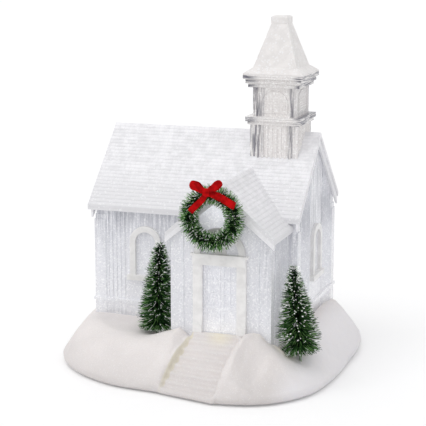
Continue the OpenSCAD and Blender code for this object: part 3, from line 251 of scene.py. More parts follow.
def spot(tree):
    """The point's place in the frame, in metres."""
    return add(tree, "ShaderNodeTexCoord").outputs["Object"]


def xyz(tree, way):
    """The x, y and z of a vector."""
    return add(tree, "ShaderNodeSeparateXYZ", {0: way}).outputs[:3]


def facing(tree):
    """The x, y and z of the way that the surface faces."""
    return xyz(tree, add(tree, "ShaderNodeNewGeometry").outputs["Normal"])


def away_from(tree, where, middle):
    """The distance in metres from a middle that is given in millimetres."""
    middle = [v * MM for v in middle]
    return add(tree, "ShaderNodeVectorMath", {0: where, 1: middle}, operation="DISTANCE").outputs["Value"]


def grain(tree, where, scale, detail=3.0, rough=0.55):
    """Cloudy noise with so many waves to the metre."""
    sockets = {"Vector": where, "Scale": scale, "Detail": detail, "Roughness": rough}
    return add(tree, "ShaderNodeTexNoise", sockets).outputs["Fac"]


def cells(tree, where, scale, output="Color", feature="F1"):
    """Crazed cells with so many to the metre."""
    return add(tree, "ShaderNodeTexVoronoi", {"Vector": where, "Scale": scale}, feature=feature).outputs[output]


def vector(tree, x, y, z):
    return add(tree, "ShaderNodeCombineXYZ", {0: x, 1: y, 2: z}).outputs[0]


def bump(tree, height, strength, distance, below=None):
    made = add(tree, "ShaderNodeBump", {"Height": height, "Strength": strength, "Distance": distance})
    if below is not None:
        feed(tree, made.inputs["Normal"], below)
    return made.outputs[0]


def finish(name, **sockets):
    """A material with one Principled shader, and its node tree and shader."""
    material = bpy.data.materials.new(name)
    material.use_nodes = True
    tree = material.node_tree
    shader = tree.nodes["Principled BSDF"]
    for key, value in sockets.items():
        feed(tree, shader.inputs[key.replace("_", " ")], value)
    return material, tree, shader


def coat(tree, shader, tone, normal, glows=False):
    """Gives a shader its colour and its normal; one that glows does so in its own colour."""
    feed(tree, shader.inputs["Base Color"], tone)
    if glows:
        feed(tree, shader.inputs["Emission Color"], tone)
    feed(tree, shader.inputs["Normal"], normal)


def speckle(tree, where, scale, above):
    """1 in the few cells whose random value lies above a limit."""
    value = add(tree, "ShaderNodeSeparateColor", {0: cells(tree, where, scale)}).outputs[0]
    return calc(tree, "GREATER_THAN", value, above)


def seen_ray(tree):
    """1 for the camera's own rays and for those that gloss or glass passes on."""
    rays = add(tree, "ShaderNodeLightPath").outputs
    passed_on = calc(tree, "MAXIMUM", rays["Is Glossy Ray"], rays["Is Transmission Ray"])
    return calc(tree, "MAXIMUM", rays["Is Camera Ray"], passed_on)


def clear_finish(name, base, shade, zones=(), groove=3.4, grooves=0.5, streaks=0.8, see_through=0.35, lit=0.07,
                 glow=None, high=None, halo=None, level=False):
    """Clear moulded acrylic: crackle, glitter painted as white glints, grooves, and painted shade as dark upright
    streaks near the given edges.

    Places are in millimetres. Groove is the grooves' width, and grooves their depth, which also sets the painted
    shade
    in them. A zone is (axis, place, reach): painted dark streaks of shade show within reach of that x or y, and
    grow from the first to the second height in high. The walls get a little painted glow of their own, as the
    church is
    lit. A painted warm glow adds to it: its lowest and highest height and its strength. So does a painted halo of
    light: its middle, its reach and its strength. Streaks and grooves of a level finish lie flat.
    """
    material, tree, shader = finish(name, Roughness=0.16, IOR=ACRYLIC_IOR, Transmission_Weight=see_through)
    where = spot(tree)
    x, y, z = xyz(tree, where)
    turned = calc(tree, "GREATER_THAN", calc(tree, "ABSOLUTE", facing(tree)[0]), 0.6)
    along = add(tree, "ShaderNodeMix", {0: turned, 2: x, 3: y}).outputs[0]

    crackle = cells(tree, where, 620, "Distance", "DISTANCE_TO_EDGE")
    fine = grain(tree, where, 1500, 4, 0.65)
    patches = grain(tree, where, 90, 3)
    across, run = (z, along) if level else (along, z)
    drawn = vector(tree, times(tree, across, 700), times(tree, run, 40), 0.0)
    streak = grain(tree, drawn, 1.0, 3, 0.6)
    wave = calc(tree, "SINE", times(tree, across, 2 * math.pi / (groove * MM)))
    line = between(tree, wave, 0.55, 1.0)
    # Glints: specks of glitter painted white, which also give a little painted glow
    glints = calc(tree, "MAXIMUM", speckle(tree, where, 1000, 0.90), speckle(tree, where, 1700, 0.92))

    tone = blend(tree, times(tree, between(tree, patches, 0.35, 0.7), 0.3), base, toned(base, 0.90))
    tone = blend(tree, times(tree, between(tree, fine, 0.52, 0.72), 0.2), tone, toned(base, 0.76))
    # Painted shade along the grooves
    tone = blend(tree, times(tree, line, grooves * 0.2), tone, toned(base, 0.75))
    tone = blend(tree, times(tree, glints, 0.6), tone, (1.0, 1.0, 1.0))
    tone = blend(tree, times(tree, speckle(tree, where, 1130, 0.90), 0.12), tone, shade)
    # Painted shade near the given edges: dark upright streaks where the thick acrylic bends light
    near = None
    for axis, place, reach in zones:
        gap = calc(tree, "ABSOLUTE", minus(tree, x if axis == "x" else y, place * MM))
        here = within(tree, gap, reach, 0)
        near = calc(tree, "MAXIMUM", near, here) if near else here
    if near:
        if high:
            near = times(tree, near, within(tree, z, *high))
        dark = times(tree, between(tree, streak, 0.42, 0.56), times(tree, near, streaks))
        tone = blend(tree, dark, tone, shade)
    feed(tree, shader.inputs["Base Color"], tone)

    # Painted glow, as the walls are no lamps: a little everywhere, a warm glow low down, and a halo where one is
    # given
    warm_glow = 0.0
    if glow:
        lowest, highest, strength = glow
        warm_glow = times(tree, within(tree, z, highest, lowest), strength)
    feed(tree, shader.inputs["Emission Color"], blend(tree, times(tree, warm_glow, 6.0), tone, (1.0, 0.88, 0.62)))
    light = plus(tree, times(tree, glints, 0.06), plus(tree, warm_glow, lit))
    if halo:
        middle, reach, strength = halo
        light = plus(tree, light, times(tree, within(tree, away_from(tree, where, middle), reach, 0), strength))
    feed(tree, shader.inputs["Emission Strength"], light)

    rough = bump(tree, crackle, 0.5, 0.4 * MM)
    rough = bump(tree, fine, 0.35, 0.2 * MM, rough)
    feed(tree, shader.inputs["Normal"], bump(tree, wave, grooves, 0.35 * MM, rough))
    return material


def shingle_finish(name, ridge, eave, rows, across, wide):
    """Frosted shingles: upright splits that shift from course to course, and frost that lies unevenly.

    Ridge and eave are heights, wide is the width of a shingle, in millimetres, and across the axis they run along.
    """
    # A painted glow in the shingles' own colour
    material, tree, shader = finish(
        name, Roughness=0.42, Transmission_Weight=0.08, IOR=ACRYLIC_IOR, Emission_Strength=0.035,
    )
    where = spot(tree)
    x, y, z = xyz(tree, where)
    course = calc(tree, "DIVIDE", minus(tree, ridge * MM, z), (ridge - eave) * MM / rows)
    row = calc(tree, "FLOOR", course)
    drop = calc(tree, "FRACT", course)
    shift = times(tree, calc(tree, "SINE", times(tree, row, 12.9898)), 43.7)
    place = calc(tree, "DIVIDE", x if across == "x" else y, wide * MM)
    split = calc(tree, "FRACT", plus(tree, place, shift))
    seam = between(tree, calc(tree, "ABSOLUTE", minus(tree, split, 0.5)), 0.40, 0.5)
    lip = between(tree, drop, 0.72, 1.0)
    frost = grain(tree, where, 140, 4, 0.6)
    fine = grain(tree, where, 1700, 3, 0.6)

    base = colours().frost
    tone = mottled(tree, frost, base, 0.93, 1.07, 0.35, 0.68)
    # Darker towards the eaves
    tone = blend(tree, between(tree, course, rows * 0.45, rows * 0.95), tone, toned(base, 0.91))
    # Painted shade under each course's lip
    tone = blend(tree, times(tree, lip, plus(tree, times(tree, fine, 0.5), 0.1)), tone, toned(base, 0.84))
    tone = blend(tree, times(tree, seam, 0.25), tone, toned(base, 0.8))
    # Glitter specks painted as white glints
    tone = blend(tree, times(tree, speckle(tree, where, 900, 0.93), 0.6), tone, FROST_GLINT)
    ridges = minus(tree, 1.0, calc(tree, "MAXIMUM", times(tree, seam, 0.6), lip))
    rough = bump(tree, ridges, 0.4, 0.4 * MM)
    coat(tree, shader, tone, bump(tree, fine, 0.3, 0.25 * MM, rough), glows=True)
    return material


def frosted_finish(name, base):
    """Frosted plastic with a little glitter, painted as white glints, and a little painted glow."""
    material, tree, shader = finish(
        name, Roughness=0.4, Transmission_Weight=0.12, IOR=ACRYLIC_IOR, Emission_Strength=0.04,
    )
    where = spot(tree)
    tone = mottled(tree, grain(tree, where, 160, 4, 0.6), base, 0.95, 1.04, 0.35, 0.68)
    tone = blend(tree, times(tree, speckle(tree, where, 950, 0.9), 0.6), tone, FROST_GLINT)
    coat(tree, shader, tone, bump(tree, grain(tree, where, 1500, 3, 0.6), 0.4, 0.3 * MM), glows=True)
    return material


def snow_finish(name):
    """Cast white resin with a sugar-fine grain and glitter painted as white glints, painted shade, and a painted
    warm glow where the lamps are taken to reach it.
    """
    material, tree, shader = finish(name, Roughness=0.62, Subsurface_Weight=0.12, Subsurface_Scale=0.004)
    feed(tree, shader.inputs["Subsurface Radius"], (1.0, 0.9, 0.75))
    where = spot(tree)
    x, y, z = xyz(tree, where)
    base = colours().snow
    fine = grain(tree, where, 1300, 4, 0.7)
    tone = mottled(tree, grain(tree, where, 35, 3), base, 0.965, 1.03)
    tone = blend(tree, times(tree, between(tree, fine, 0.48, 0.72), 0.4), tone, toned(base, 0.78))

    # Painted shade: greyer on the side away from the key light and near the table. Painted light: lighter and
    # cooler at the far right
    lee_shade = times(tree, between(tree, facing(tree)[0], 0.05, 0.5), within(tree, x, 95, 70))
    low = within(tree, z, 30, 4)
    painted_shade = plus(tree, times(tree, lee_shade, 0.45), times(tree, low, 0.70))
    tone = blend(tree, painted_shade, tone, toned(base, 0.83))
    tone = blend(tree, times(tree, within(tree, x, 78, 100), 0.7), tone, (0.90, 0.885, 0.92))

    # The treads, from their left cheek on, made darker, and a painted line of warm light and shade along that
    # cheek
    across = minus(tree, x, plus(tree, times(tree, y, CHEEK[0]), CHEEK[1] * MM))
    treads = times(tree, within(tree, across, 0, 2), within(tree, across, 45, 41))
    treads = times(tree, treads, within(tree, y, -68, -75))
    tone = blend(tree, times(tree, treads, 0.35), tone, toned(base, 0.86))
    ends = times(tree, within(tree, y, -112, -102), within(tree, y, -68, -78))
    line = times(tree, within(tree, calc(tree, "ABSOLUTE", across), 1.6, 0.4), ends)

    # A painted warm glow where the lamps are taken to shine through, in colour and in a little emission
    glow = 0.0
    for *middle, reach in GLOWS:
        glow = calc(tree, "MAXIMUM", glow, within(tree, away_from(tree, where, middle), reach, 0))
    warm_glow = colours().snow_glow
    tone = blend(tree, times(tree, glow, 0.7), tone, warm_glow)
    tone = blend(tree, times(tree, line, 0.75), tone, toned(warm_glow, 0.9))
    feed(tree, shader.inputs["Emission Color"], (1.0, 0.86, 0.56))
    feed(tree, shader.inputs["Emission Strength"], times(tree, glow, 0.03))

    # Glitter specks painted as white glints
    tone = blend(tree, times(tree, speckle(tree, where, 2600, 0.95), 0.4), tone, (0.96, 0.95, 0.95))
    rough = bump(tree, grain(tree, where, 260, 4, 0.6), 0.4, 0.8 * MM)
    coat(tree, shader, tone, bump(tree, fine, 0.6, 0.35 * MM, rough))
    return material


def trim_finish(name, dim=1.0):
    """Painted trim with brush marks that hardly show."""
    material, tree, shader = finish(name, Roughness=0.38)
    where = spot(tree)
    tone = mottled(tree, grain(tree, where, 180, 3), toned(colours().trim, dim), 0.93, 1.05)
    coat(tree, shader, tone, bump(tree, grain(tree, where, 1400, 3), 0.25, 0.2 * MM))
    return material


def moulded(name, base, rough=0.45, texture=0.25):
    """Plain moulded plastic or rubber with a fine texture."""
    material, tree, shader = finish(name, Roughness=rough)
    where = spot(tree)
    soft = grain(tree, where, 120, 3)
    feed(tree, shader.inputs["Roughness"], plus(tree, times(tree, soft, 0.16), rough - 0.08))
    tone = blend(tree, soft, toned(base, 0.88), toned(base, 1.1))
    coat(tree, shader, tone, bump(tree, grain(tree, where, 2200, 3), texture, 0.15 * MM))
    return material


def metal(name, base, rough=0.3, twist=0.0):
    """Plated or drawn metal; twist is the pitch of a twisted wire in millimetres."""
    material, tree, shader = finish(name, Metallic=1.0, Roughness=rough)
    x, y, z = xyz(tree, spot(tree))
    drawn = vector(tree, times(tree, x, 900), times(tree, y, 900), times(tree, z, 90))
    lines = grain(tree, drawn, 1.0, 3)
    feed(tree, shader.inputs["Roughness"], plus(tree, times(tree, lines, 0.2), rough - 0.1))
    height = lines
    if twist:
        slant = plus(tree, plus(tree, x, y), z)
        height = calc(tree, "SINE", times(tree, slant, 2 * math.pi / (twist * MM)))
    tone = blend(tree, lines, toned(base, 0.82), toned(base, 1.1))
    coat(tree, shader, tone, bump(tree, height, 0.5, 0.15 * MM))
    return material


def circuit_finish(name):
    """Green lacquer over tracks, with tinned holes."""
    material, tree, shader = finish(name, Roughness=0.25)
    where = spot(tree)
    tracks = add(tree, "ShaderNodeTexBrick", {"Vector": where, "Scale": 220.0, "Mortar Size": 0.03}).outputs["Fac"]
    holes = between(tree, cells(tree, where, 300, "Distance"), 0.22, 0.18)
    tone = blend(tree, tracks, (0.025, 0.14, 0.06), (0.06, 0.26, 0.12))
    tone = blend(tree, times(tree, holes, 0.7), tone, (0.55, 0.52, 0.45))
    coat(tree, shader, tone, bump(tree, tracks, 0.3, 0.1 * MM))
    return material


def lamp_finish(name):
    """A warm lamp that is on."""
    material, tree, shader = finish(name, Roughness=0.2, Emission_Strength=2.5)
    tone = blend(tree, grain(tree, spot(tree), 400, 2), (1.0, 0.80, 0.50), (1.0, 0.90, 0.68))
    feed(tree, shader.inputs["Base Color"], tone)
    feed(tree, shader.inputs["Emission Color"], tone)
    return material


def cell_finish(name):
    """The cells' dark sleeves, each with a brass-coloured ring."""
    material, tree, shader = finish(name, Roughness=0.3)
    where = spot(tree)
    wave = calc(tree, "SINE", times(tree, xyz(tree, where)[1], 2 * math.pi / (CELL_RINGS * MM)))
    tone = blend(tree, calc(tree, "GREATER_THAN", wave, 0.86), (0.03, 0.035, 0.04), (0.45, 0.33, 0.12))
    tone = blend(tree, grain(tree, where, 200, 3), tone, (0.06, 0.065, 0.07))
    coat(tree, shader, tone, bump(tree, grain(tree, where, 1500, 3), 0.15, 0.1 * MM))
    return material


def brush_finish(name, base, rough=0.75, snowy=0.0, lit=0.0):
    """Dyed bristle with a share of frost on it, or the snow at its tips."""
    # Lit gives a painted glow in the finish's own colour
    material, tree, shader = finish(name, Roughness=rough, Specular_IOR_Level=0.12, Emission_Strength=lit)
    where = spot(tree)
    tone = mottled(tree, grain(tree, where, 260, 3), base, 0.7, 1.35)
    if snowy:
        frost = between(tree, grain(tree, where, 900, 3), 0.5, 0.62)
        tone = blend(tree, times(tree, frost, snowy), tone, (0.9, 0.92, 0.9))
    coat(tree, shader, tone, bump(tree, grain(tree, where, 3000, 2), 0.2, 0.05 * MM), glows=True)
    return material


def velvet_finish(name):
    """Flock that catches the light where its pile leans, with painted light and shade of its folds in its colour.
    """
    material, tree, shader = finish(
        name, Roughness=0.95, Specular_IOR_Level=0.08, Sheen_Weight=0.06, Sheen_Roughness=0.35,
        Sheen_Tint=(1.0, 0.2, 0.15),
    )
    where = spot(tree)
    base = colours().ribbon
    pile = grain(tree, where, 4200, 3, 0.7)
    # Painted light and shade of the folds, as soft large patches
    tone = mottled(tree, grain(tree, where, 210, 4, 0.6), base, 0.60, 1.45)
    tone = blend(tree, times(tree, pile, 0.35), tone, toned(base, 0.45))
    coat(tree, shader, tone, bump(tree, pile, 0.6, 0.25 * MM))
    return material


def glitter_finish(name, base, rough=0.18):
    """Metallised flakes."""
    material, tree, shader = finish(name, Metallic=0.85, Roughness=rough)
    where = spot(tree)
    tone = blend(tree, grain(tree, where, 700, 2), toned(base, 0.8), base)
    coat(tree, shader, tone, bump(tree, grain(tree, where, 2500, 2), 0.2, 0.1 * MM))
    return material


# Meshes


def new_object(name, data):
    made = bpy.data.objects.new(name, data)
    bpy.context.scene.collection.objects.link(made)
    return made


def aimed(way):
    """The rotation of a lamp or camera that looks along a way."""
    return way.to_track_quat("-Z", "Y").to_euler()


def enter(name, mesh, node=None):
    """Puts a mesh in the scene; it rides on the church, and stands for a node where one is named."""
    made = new_object(name, mesh)
    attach(made, BODY)
    if node:
        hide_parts(node)
    return made


def piece(name, points, faces, materials, node=None, slots=None, smooth=True):
    """A new mesh, in metres, as a piece of the church."""
    mesh = bpy.data.meshes.new(name)
    mesh.from_pydata([tuple(p) for p in points], [], [tuple(int(i) for i in f) for f in faces])
    for material in materials:
        mesh.materials.append(material)
    if slots is not None:
        mesh.polygons.foreach_set("material_index", np.asarray(slots, dtype=np.int32))
    mesh.polygons.foreach_set("use_smooth", np.full(len(mesh.polygons), smooth))
    mesh.update()
    return enter(name, mesh, node)


def paint(material, *nodes):
    """Gives CAD nodes a finish."""
    for name in nodes:
        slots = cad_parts[name].material_slots
        if not slots:
            raise RuntimeError(f"{name} has no material slot")
        for one in slots:
            one.link = "OBJECT"
            one.material = material


def unit(ways):
    """Rows of vectors, each made one long."""
    return ways / np.linalg.norm(ways, axis=1, keepdims=True)


def joined(parts):
    """Point, face and slot lists of several parts as one."""
    points, faces, slots, first = [], [], [], 0
    for p, f, s in parts:
        points.extend(p)
        faces.extend([[i + first for i in face] for face in f])
        slots.extend(s)
        first += len(p)
    return points, faces, slots


# Brushes


def strands(roots, tips, bend, radius, rng, light, snowy):
    """Three-sided strands of two stretches each, painted dark near the wire as shade; a share is light at the tip,
    a share snowy.

    Bend moves each strand's middle, as a share of its length.
    """
    n = len(roots)
    way = tips - roots
    reach = np.linalg.norm(way, axis=1, keepdims=True)
    way = way / reach
    other = np.tile([0.0, 0.0, 1.0], (n, 1))
    other[np.abs(way[:, 2]) > 0.9] = (1.0, 0.0, 0.0)
    side = unit(np.cross(way, other))
    up = np.cross(side, way)
    middle = roots + way * reach * 0.55 + bend * reach
    rings = []
    for centre, thick in ((roots, 1.0), (middle, 0.85), (tips, 0.5)):
        for k in range(3):
            turn = 2 * math.pi * k / 3
            rings.append(centre + (side * math.cos(turn) + up * math.sin(turn)) * radius * thick)
    points = np.stack(rings, axis=1).reshape(-1, 3)
    start = (np.arange(n) * len(rings))[:, None]
    faces = []
    for ring in (0, 3):
        for k in range(3):
            a, b = ring + k, ring + (k + 1) % 3
            faces.append(np.concatenate([start + a, start + a + 3, start + b + 3, start + b], axis=1))
    faces = np.stack(faces, axis=1).reshape(-1, 4).tolist()
    faces += (start + [0, 1, 2]).tolist() + (start + [8, 7, 6]).tolist()
    draw = rng.random(n)
    tip = np.where(draw < snowy, SNOWY, np.where(draw < snowy + light, TIP, GREEN))
    root = np.full(n, ROOT)
    slots = np.stack([root] * 3 + [tip] * 3, axis=1).reshape(-1)
    return points, faces, np.concatenate([slots, root, tip])


def clumps(tips, ways, rng, low, high):
    """Uneven lumps of snow, drawn out along the last stretch of each strand."""
    seed = bmesh.new()
    bmesh.ops.create_icosphere(seed, subdivisions=1, radius=1.0)
    shape = np.array([v.co[:] for v in seed.verts])
    sides = np.array([[v.index for v in f.verts] for f in seed.faces])
    seed.free()
    n = len(tips)
    ways = unit(ways)
    thick = rng.uniform(low, high, (n, 1, 1)) * rng.uniform(0.75, 1.2, (n, len(shape), 1))
    ball = shape[None] * thick
    drawn = ball + (ball @ ways[:, :, None]) * ways[:, None, :] * rng.uniform(1.2, 3.2, (n, 1, 1))
    points = (tips[:, None, :] - ways[:, None, :] * thick.mean() * 2 + drawn).reshape(-1, 3)
    faces = (sides[None] + (np.arange(n) * len(shape))[:, None, None]).reshape(-1, 3)
    return points, faces


def brush_materials(dim, snowy):
    """The finishes of a brush, in the order of ROOT, GREEN, TIP and SNOWY."""
    c = colours()
    return [
        # The root stretch is painted dark green, as shade near the wire
        brush_finish("brush_root", toned(c.green_dark, dim)),
        brush_finish("brush_green", toned(c.green, dim), snowy=snowy * 0.4),
        brush_finish("brush_tip", toned(c.green_light, dim), snowy=snowy),
        # The snow on the brushes gets a painted glow of its own
        brush_finish("brush_snow", (0.92, 0.94, 0.92), 0.6, lit=0.13),
    ]


def brush_piece(name, node, roots, tips, bend, rng, light, snowy, lumps, lump, dim, frost, order=1.0):
    """Strands as one piece; those that come first after a random draw times order carry a lump of snow.

    Light and snowy are the shares of the strands with such tips, and lump the lumps' smallest and largest radius.
    """
    points, faces, slots = strands(roots, tips, bend, sizes().strand / MM, rng, light, snowy)
    chosen = np.argsort(rng.random(len(tips)) * order)[:lumps]
    lump_points, lump_faces = clumps(tips[chosen], (tips - roots)[chosen], rng, *lump)
    points, faces, slots = joined([
        (points.tolist(), faces, slots.tolist()),
        (lump_points.tolist(), lump_faces, [SNOWY] * len(lump_faces)),
    ])
    return piece(name, np.array(points) * MM, faces, brush_materials(dim, frost), node, slots)


def tree_reach(share, wide, full):
    """Radius of a brush tree at a share of its height, in millimetres; the lower full is, the fuller its sides."""
    belly, point = 0.16, 2.4
    lower = wide * (1 - (1 - share / belly) ** 2 / 3)
    upper = point + (wide - point) * np.power(np.clip((1 - share) / (1 - belly), 0, 1), full)
    return np.where(share < belly, lower, upper)


def brush_tree(name, node, place, lean, tall, wide, seed, snowy, lumps, lump, foot, low, full, wall=None):
    """A bottle-brush tree: strands in close whorls round a twisted wire, cut to a cone, with snow on their tips.

    Lean is in degrees. In millimetres are its height and radius, the radius of its largest lump of snow, the
    height that no strand falls below and the x of a wall that none reaches past. Low is the share of its height at
    which the strands begin, and full how full its sides are.
    """
    rng = np.random.default_rng(seed)
    n = sizes().tree_strands
    none = np.zeros(n)
    whorl = 1.9 / tall
    rise = np.sort(1 - rng.random(n) ** 0.62)
    rise = np.round(rise / whorl) * whorl + rng.normal(0, 0.22, n) * whorl
    rise = np.clip(rise, low, 0.985)
    turn = rng.uniform(0, 2 * math.pi, n)
    reach = tree_reach(rise, wide, full) * rng.uniform(0.84, 1.05, n)
    slope = np.where(rise < 0.12, -0.34, -0.02) + 0.35 * rise + rng.normal(0, 0.11, n)
    out = np.stack([np.cos(turn), np.sin(turn), none], axis=1)
    roots = out * CORE + np.stack([none, none, rise * tall], axis=1)
    tips = roots + out * (reach - CORE)[:, None]
    tips[:, 2] += slope * reach
    tips[:, 2] = np.maximum(tips[:, 2], foot + rng.uniform(0, 1.5, n))
    tips[:, :2] += rng.normal(0, 0.05, (n, 2)) * reach[:, None]

    top = rng.uniform(0.965, 1.0, CROWN)
    crown = np.stack([rng.normal(0, 0.9, CROWN), rng.normal(0, 0.9, CROWN), top * tall], axis=1)
    roots = np.concatenate([roots, np.tile([0, 0, 0.95 * tall], (CROWN, 1))])
    tips = np.concatenate([tips, crown])

    tilt = math.radians(lean)
    spin = np.array([[math.cos(tilt), 0, math.sin(tilt)], [0, 1, 0], [-math.sin(tilt), 0, math.cos(tilt)]])
    roots = roots @ spin.T + np.array(place)
    tips = tips @ spin.T + np.array(place)
    if wall is not None:
        over = tips[:, 0] > wall
        share = np.clip((wall - roots[:, 0]) / np.maximum(tips[:, 0] - roots[:, 0], 1e-6), 0, 1)
        tips[over] = roots[over] + (tips[over] - roots[over]) * share[over, None]
    bend = np.zeros_like(tips)
    bend[:, 2] = rng.normal(0.03, 0.03, len(tips))
    higher_first = 1.25 - (tips[:, 2] - place[2]) / tall
    return brush_piece(
        name, node, roots, tips, bend, rng, light=0.30, snowy=snowy, lumps=lumps, lump=(0.24, lump),
        dim=0.75, frost=0.10, order=higher_first,
    )


def wreath_piece():
    """The wreath: strands all round a ring of wire, swept a little one way, with snowy tips."""
    rng = np.random.default_rng(41)
    n = sizes().wreath_strands
    ring, brush = 16.5, 8.7
    none = np.zeros(n)
    turn = rng.uniform(0, 2 * math.pi, n)
    round_ring = rng.uniform(0, 2 * math.pi, n)
    reach = brush * rng.uniform(0.78, 1.06, n) * np.where(np.cos(round_ring) < 0, 0.8, 1.0)
    out = np.stack([np.cos(turn), none, np.sin(turn)], axis=1)
    ahead = np.stack([-np.sin(turn), none, np.cos(turn)], axis=1)
    depth = np.tile([0.0, 1.0, 0.0], (n, 1))
    swept = ahead * rng.normal(0.12, 0.16, n)[:, None]
    way = unit(out * np.cos(round_ring)[:, None] + depth * np.sin(round_ring)[:, None] + swept)
    middle = out * ring
    roots = middle + way * CORE + np.array(WREATH)
    tips = middle + way * reach[:, None] + np.array(WREATH)
    return brush_piece(
        "wreath_brush", "wreath", roots, tips, rng.normal(0, 0.03, (n, 3)), rng, light=0.45, snowy=0.11,
        lumps=400, lump=(0.20, 0.38), dim=1.0, frost=0.12,
    )


# The ribbon; its lengths are in millimetres


def ribbon_strip(path, across, widths, cup, gathers=None):
    """Points and faces of a ribbon along a path; cup bows it over its width, along the path's normal.

    Gathers are the heights of the folds that run along it, one for each point of the path.
    """
    rows = 7
    points, faces = [], []
    n = len(path)
    for i, centre in enumerate(path):
        ahead = (path[min(i + 1, n - 1)] - path[max(i - 1, 0)]).normalized()
        normal = ahead.cross(across[i]).normalized()
        for j in range(rows):
            v = 2 * j / (rows - 1) - 1
            fold = gathers[i] * math.cos(2 * math.pi * v) if gathers else 0
            points.append(centre + across[i] * widths[i] * v / 2 - normal * (cup * v * v + fold))
    for i in range(n - 1):
        for j in range(rows - 1):
            a = i * rows + j
            faces.append((a, a + 1, a + rows + 1, a + rows))
    return points, faces


def ribbon_ways(degrees):
    """The way in which a ribbon leaves the knot, the way across it, and the way back to the wreath."""
    turn = math.radians(degrees)
    along = Vector((math.cos(turn), 0, math.sin(turn)))
    across = Vector((-math.sin(turn), 0, math.cos(turn)))
    return along, across, Vector((0, 1, 0))


def ribbon_loop(degrees, reach, wide):
    """A loop that is gathered at the knot and rounded at its far end."""
    along, across, back = ribbon_ways(degrees)
    steps, start, depth = 32, 0.9, 5.4
    path, widths = [], []
    for i in range(steps + 1):
        t = 2 * math.pi * i / steps
        s = (1 - math.cos(t)) / 2
        swell = math.sin(t) * math.sin(t / 2) ** 0.8 if t else 0
        wave = 0.25 * math.sin(3 * math.pi * s)
        path.append(along * (start + (reach - start) * s) - back * (depth / 2 * swell) + across * wave)
        gathered = 0.58 + 0.46 * min(1, s * 1.7)
        rounded = 1 - 0.40 * max(0, (s - 0.72) / 0.28) ** 2
        widths.append(wide * gathered * rounded)
    gathers = [0.42 * max(0, 1 - p.length / (reach * 0.7)) for p in path]
    return ribbon_strip(path, [across] * len(path), widths, 0.5, gathers)


def ribbon_tail(degrees, reach, wide):
    """A tail that sways a little and hangs down over the wreath."""
    along, across, back = ribbon_ways(degrees)
    steps, lift = 16, 1.1
    path, widths = [], []
    for i in range(steps + 1):
        s = i / steps
        sway = 0.55 * math.sin(math.pi * 1.6 * s)
        wave = 0.45 * math.sin(2.5 * math.pi * s)
        path.append(along * (reach * s) + back * (lift * min(1, s * 4) - wave) + across * sway)
        widths.append(wide * (0.7 + 0.32 * min(1, s * 3)))
    gathers = [0.35 * max(0, 1 - i / 9) for i in range(steps + 1)]
    return ribbon_strip(path, [across] * len(path), widths, 0.3, gathers)


def ribbon_knot(wide, high, deep):
    """The turn of ribbon that is wrapped round the bow's middle."""
    steps = 24
    path = []
    for i in range(steps + 1):
        t = 2 * math.pi * i / steps
        path.append(Vector((0, -math.cos(t) * deep / 2, math.sin(t) * high / 2)))
    return ribbon_strip(path, [Vector((1, 0, 0))] * len(path), [wide] * len(path), -0.45)


def bow_piece():
    """The bow: two loops and two tails of flocked ribbon, drawn in under a wrapped knot."""
    wide = sizes().ribbon / MM
    strips = [
        ribbon_loop(152, 13.6, wide * 1.08),
        ribbon_loop(36, 13.6, wide),
        ribbon_tail(-129, 19.5, wide * 0.8),
        ribbon_tail(-21, 22.5, wide),
        ribbon_knot(5.0, 5.6, 4.4),
    ]
    points, faces, slots = joined([(p, f, [0] * len(f)) for p, f in strips])
    points = [(BOW + Vector(p)) * MM for p in points]
    made = piece("velvet_bow", points, faces, [velvet_finish("red_velvet")], "ribbon_bow", slots)
    thick = made.modifiers.new("Thickness", "SOLIDIFY")
    thick.thickness = 0.7 * MM
    thick.offset = 0
    soft = made.modifiers.new("Soft", "SUBSURF")
    soft.levels = soft.render_levels = 2
    return made


# The snow; x, y and z are in millimetres, and a mesh's points in metres


def values(items, key, kind=float, width=3):
    """A value of each point or edge of a mesh, as the rows of an array."""
    flat = np.empty(len(items) * width, dtype=kind)
    items.foreach_get(key, flat)
    return flat.reshape(-1, width)


def move(mesh, points):
    mesh.vertices.foreach_set("co", points.ravel())
    mesh.update()


def hill(away, wide):
    """1 at its middle, and less and less away from it."""
    return np.exp(-(away / wide) ** 2)


def by_place(on_stairs, by_house, stairs, house, elsewhere):
    """A value for each point: one on the stairs, one close to the house and one elsewhere."""
    return np.where(on_stairs, stairs, np.where(by_house, house, elsewhere))


def stair_ends(y):
    """Left and right end of the stairs at a y, and the share of the way down that they have come at the left."""
    down = HOUSE.y - y - STAIR_Y
    left, right = (down / reach for reach in STAIR_REACH)
    middle = HOUSE.x + STAIR_X
    return (
        middle - (STAIR_WIDTH + WIDENING * left) / 2 - SIDESTEP * left,
        middle + (STAIR_WIDTH + WIDENING * right) / 2 - SIDESTEP * right,
        left,
    )


def remeshed(node, grid):
    """The shape of a CAD node as one skin of small, even faces."""
    work = bmesh.new()
    work.from_mesh(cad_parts[node].data)
    bmesh.ops.remove_doubles(work, verts=work.verts, dist=0.01 * MM)
    mesh = bpy.data.meshes.new(node + "_rough")
    work.to_mesh(mesh)
    work.free()
    holder = new_object(node + "_rough", mesh)
    remesh = holder.modifiers.new("Fine", "REMESH")
    remesh.mode = "VOXEL"
    remesh.voxel_size = grid
    shown = holder.evaluated_get(bpy.context.evaluated_depsgraph_get())
    mesh = bpy.data.meshes.new_from_object(shown)
    bpy.data.objects.remove(holder)
    return mesh


def soften(mesh, points, weight, rounds=16):
    """Draws each point towards the middle of its neighbours, in place."""
    edges = values(mesh.edges, "vertices", np.int64, 2)
    links = np.bincount(edges.ravel(), minlength=len(points))[:, None]
    for _ in range(rounds):
        total = np.zeros_like(points)
        np.add.at(total, edges[:, 0], points[edges[:, 1]])
        np.add.at(total, edges[:, 1], points[edges[:, 0]])
        points += (total / links - points) * weight
    move(mesh, points)


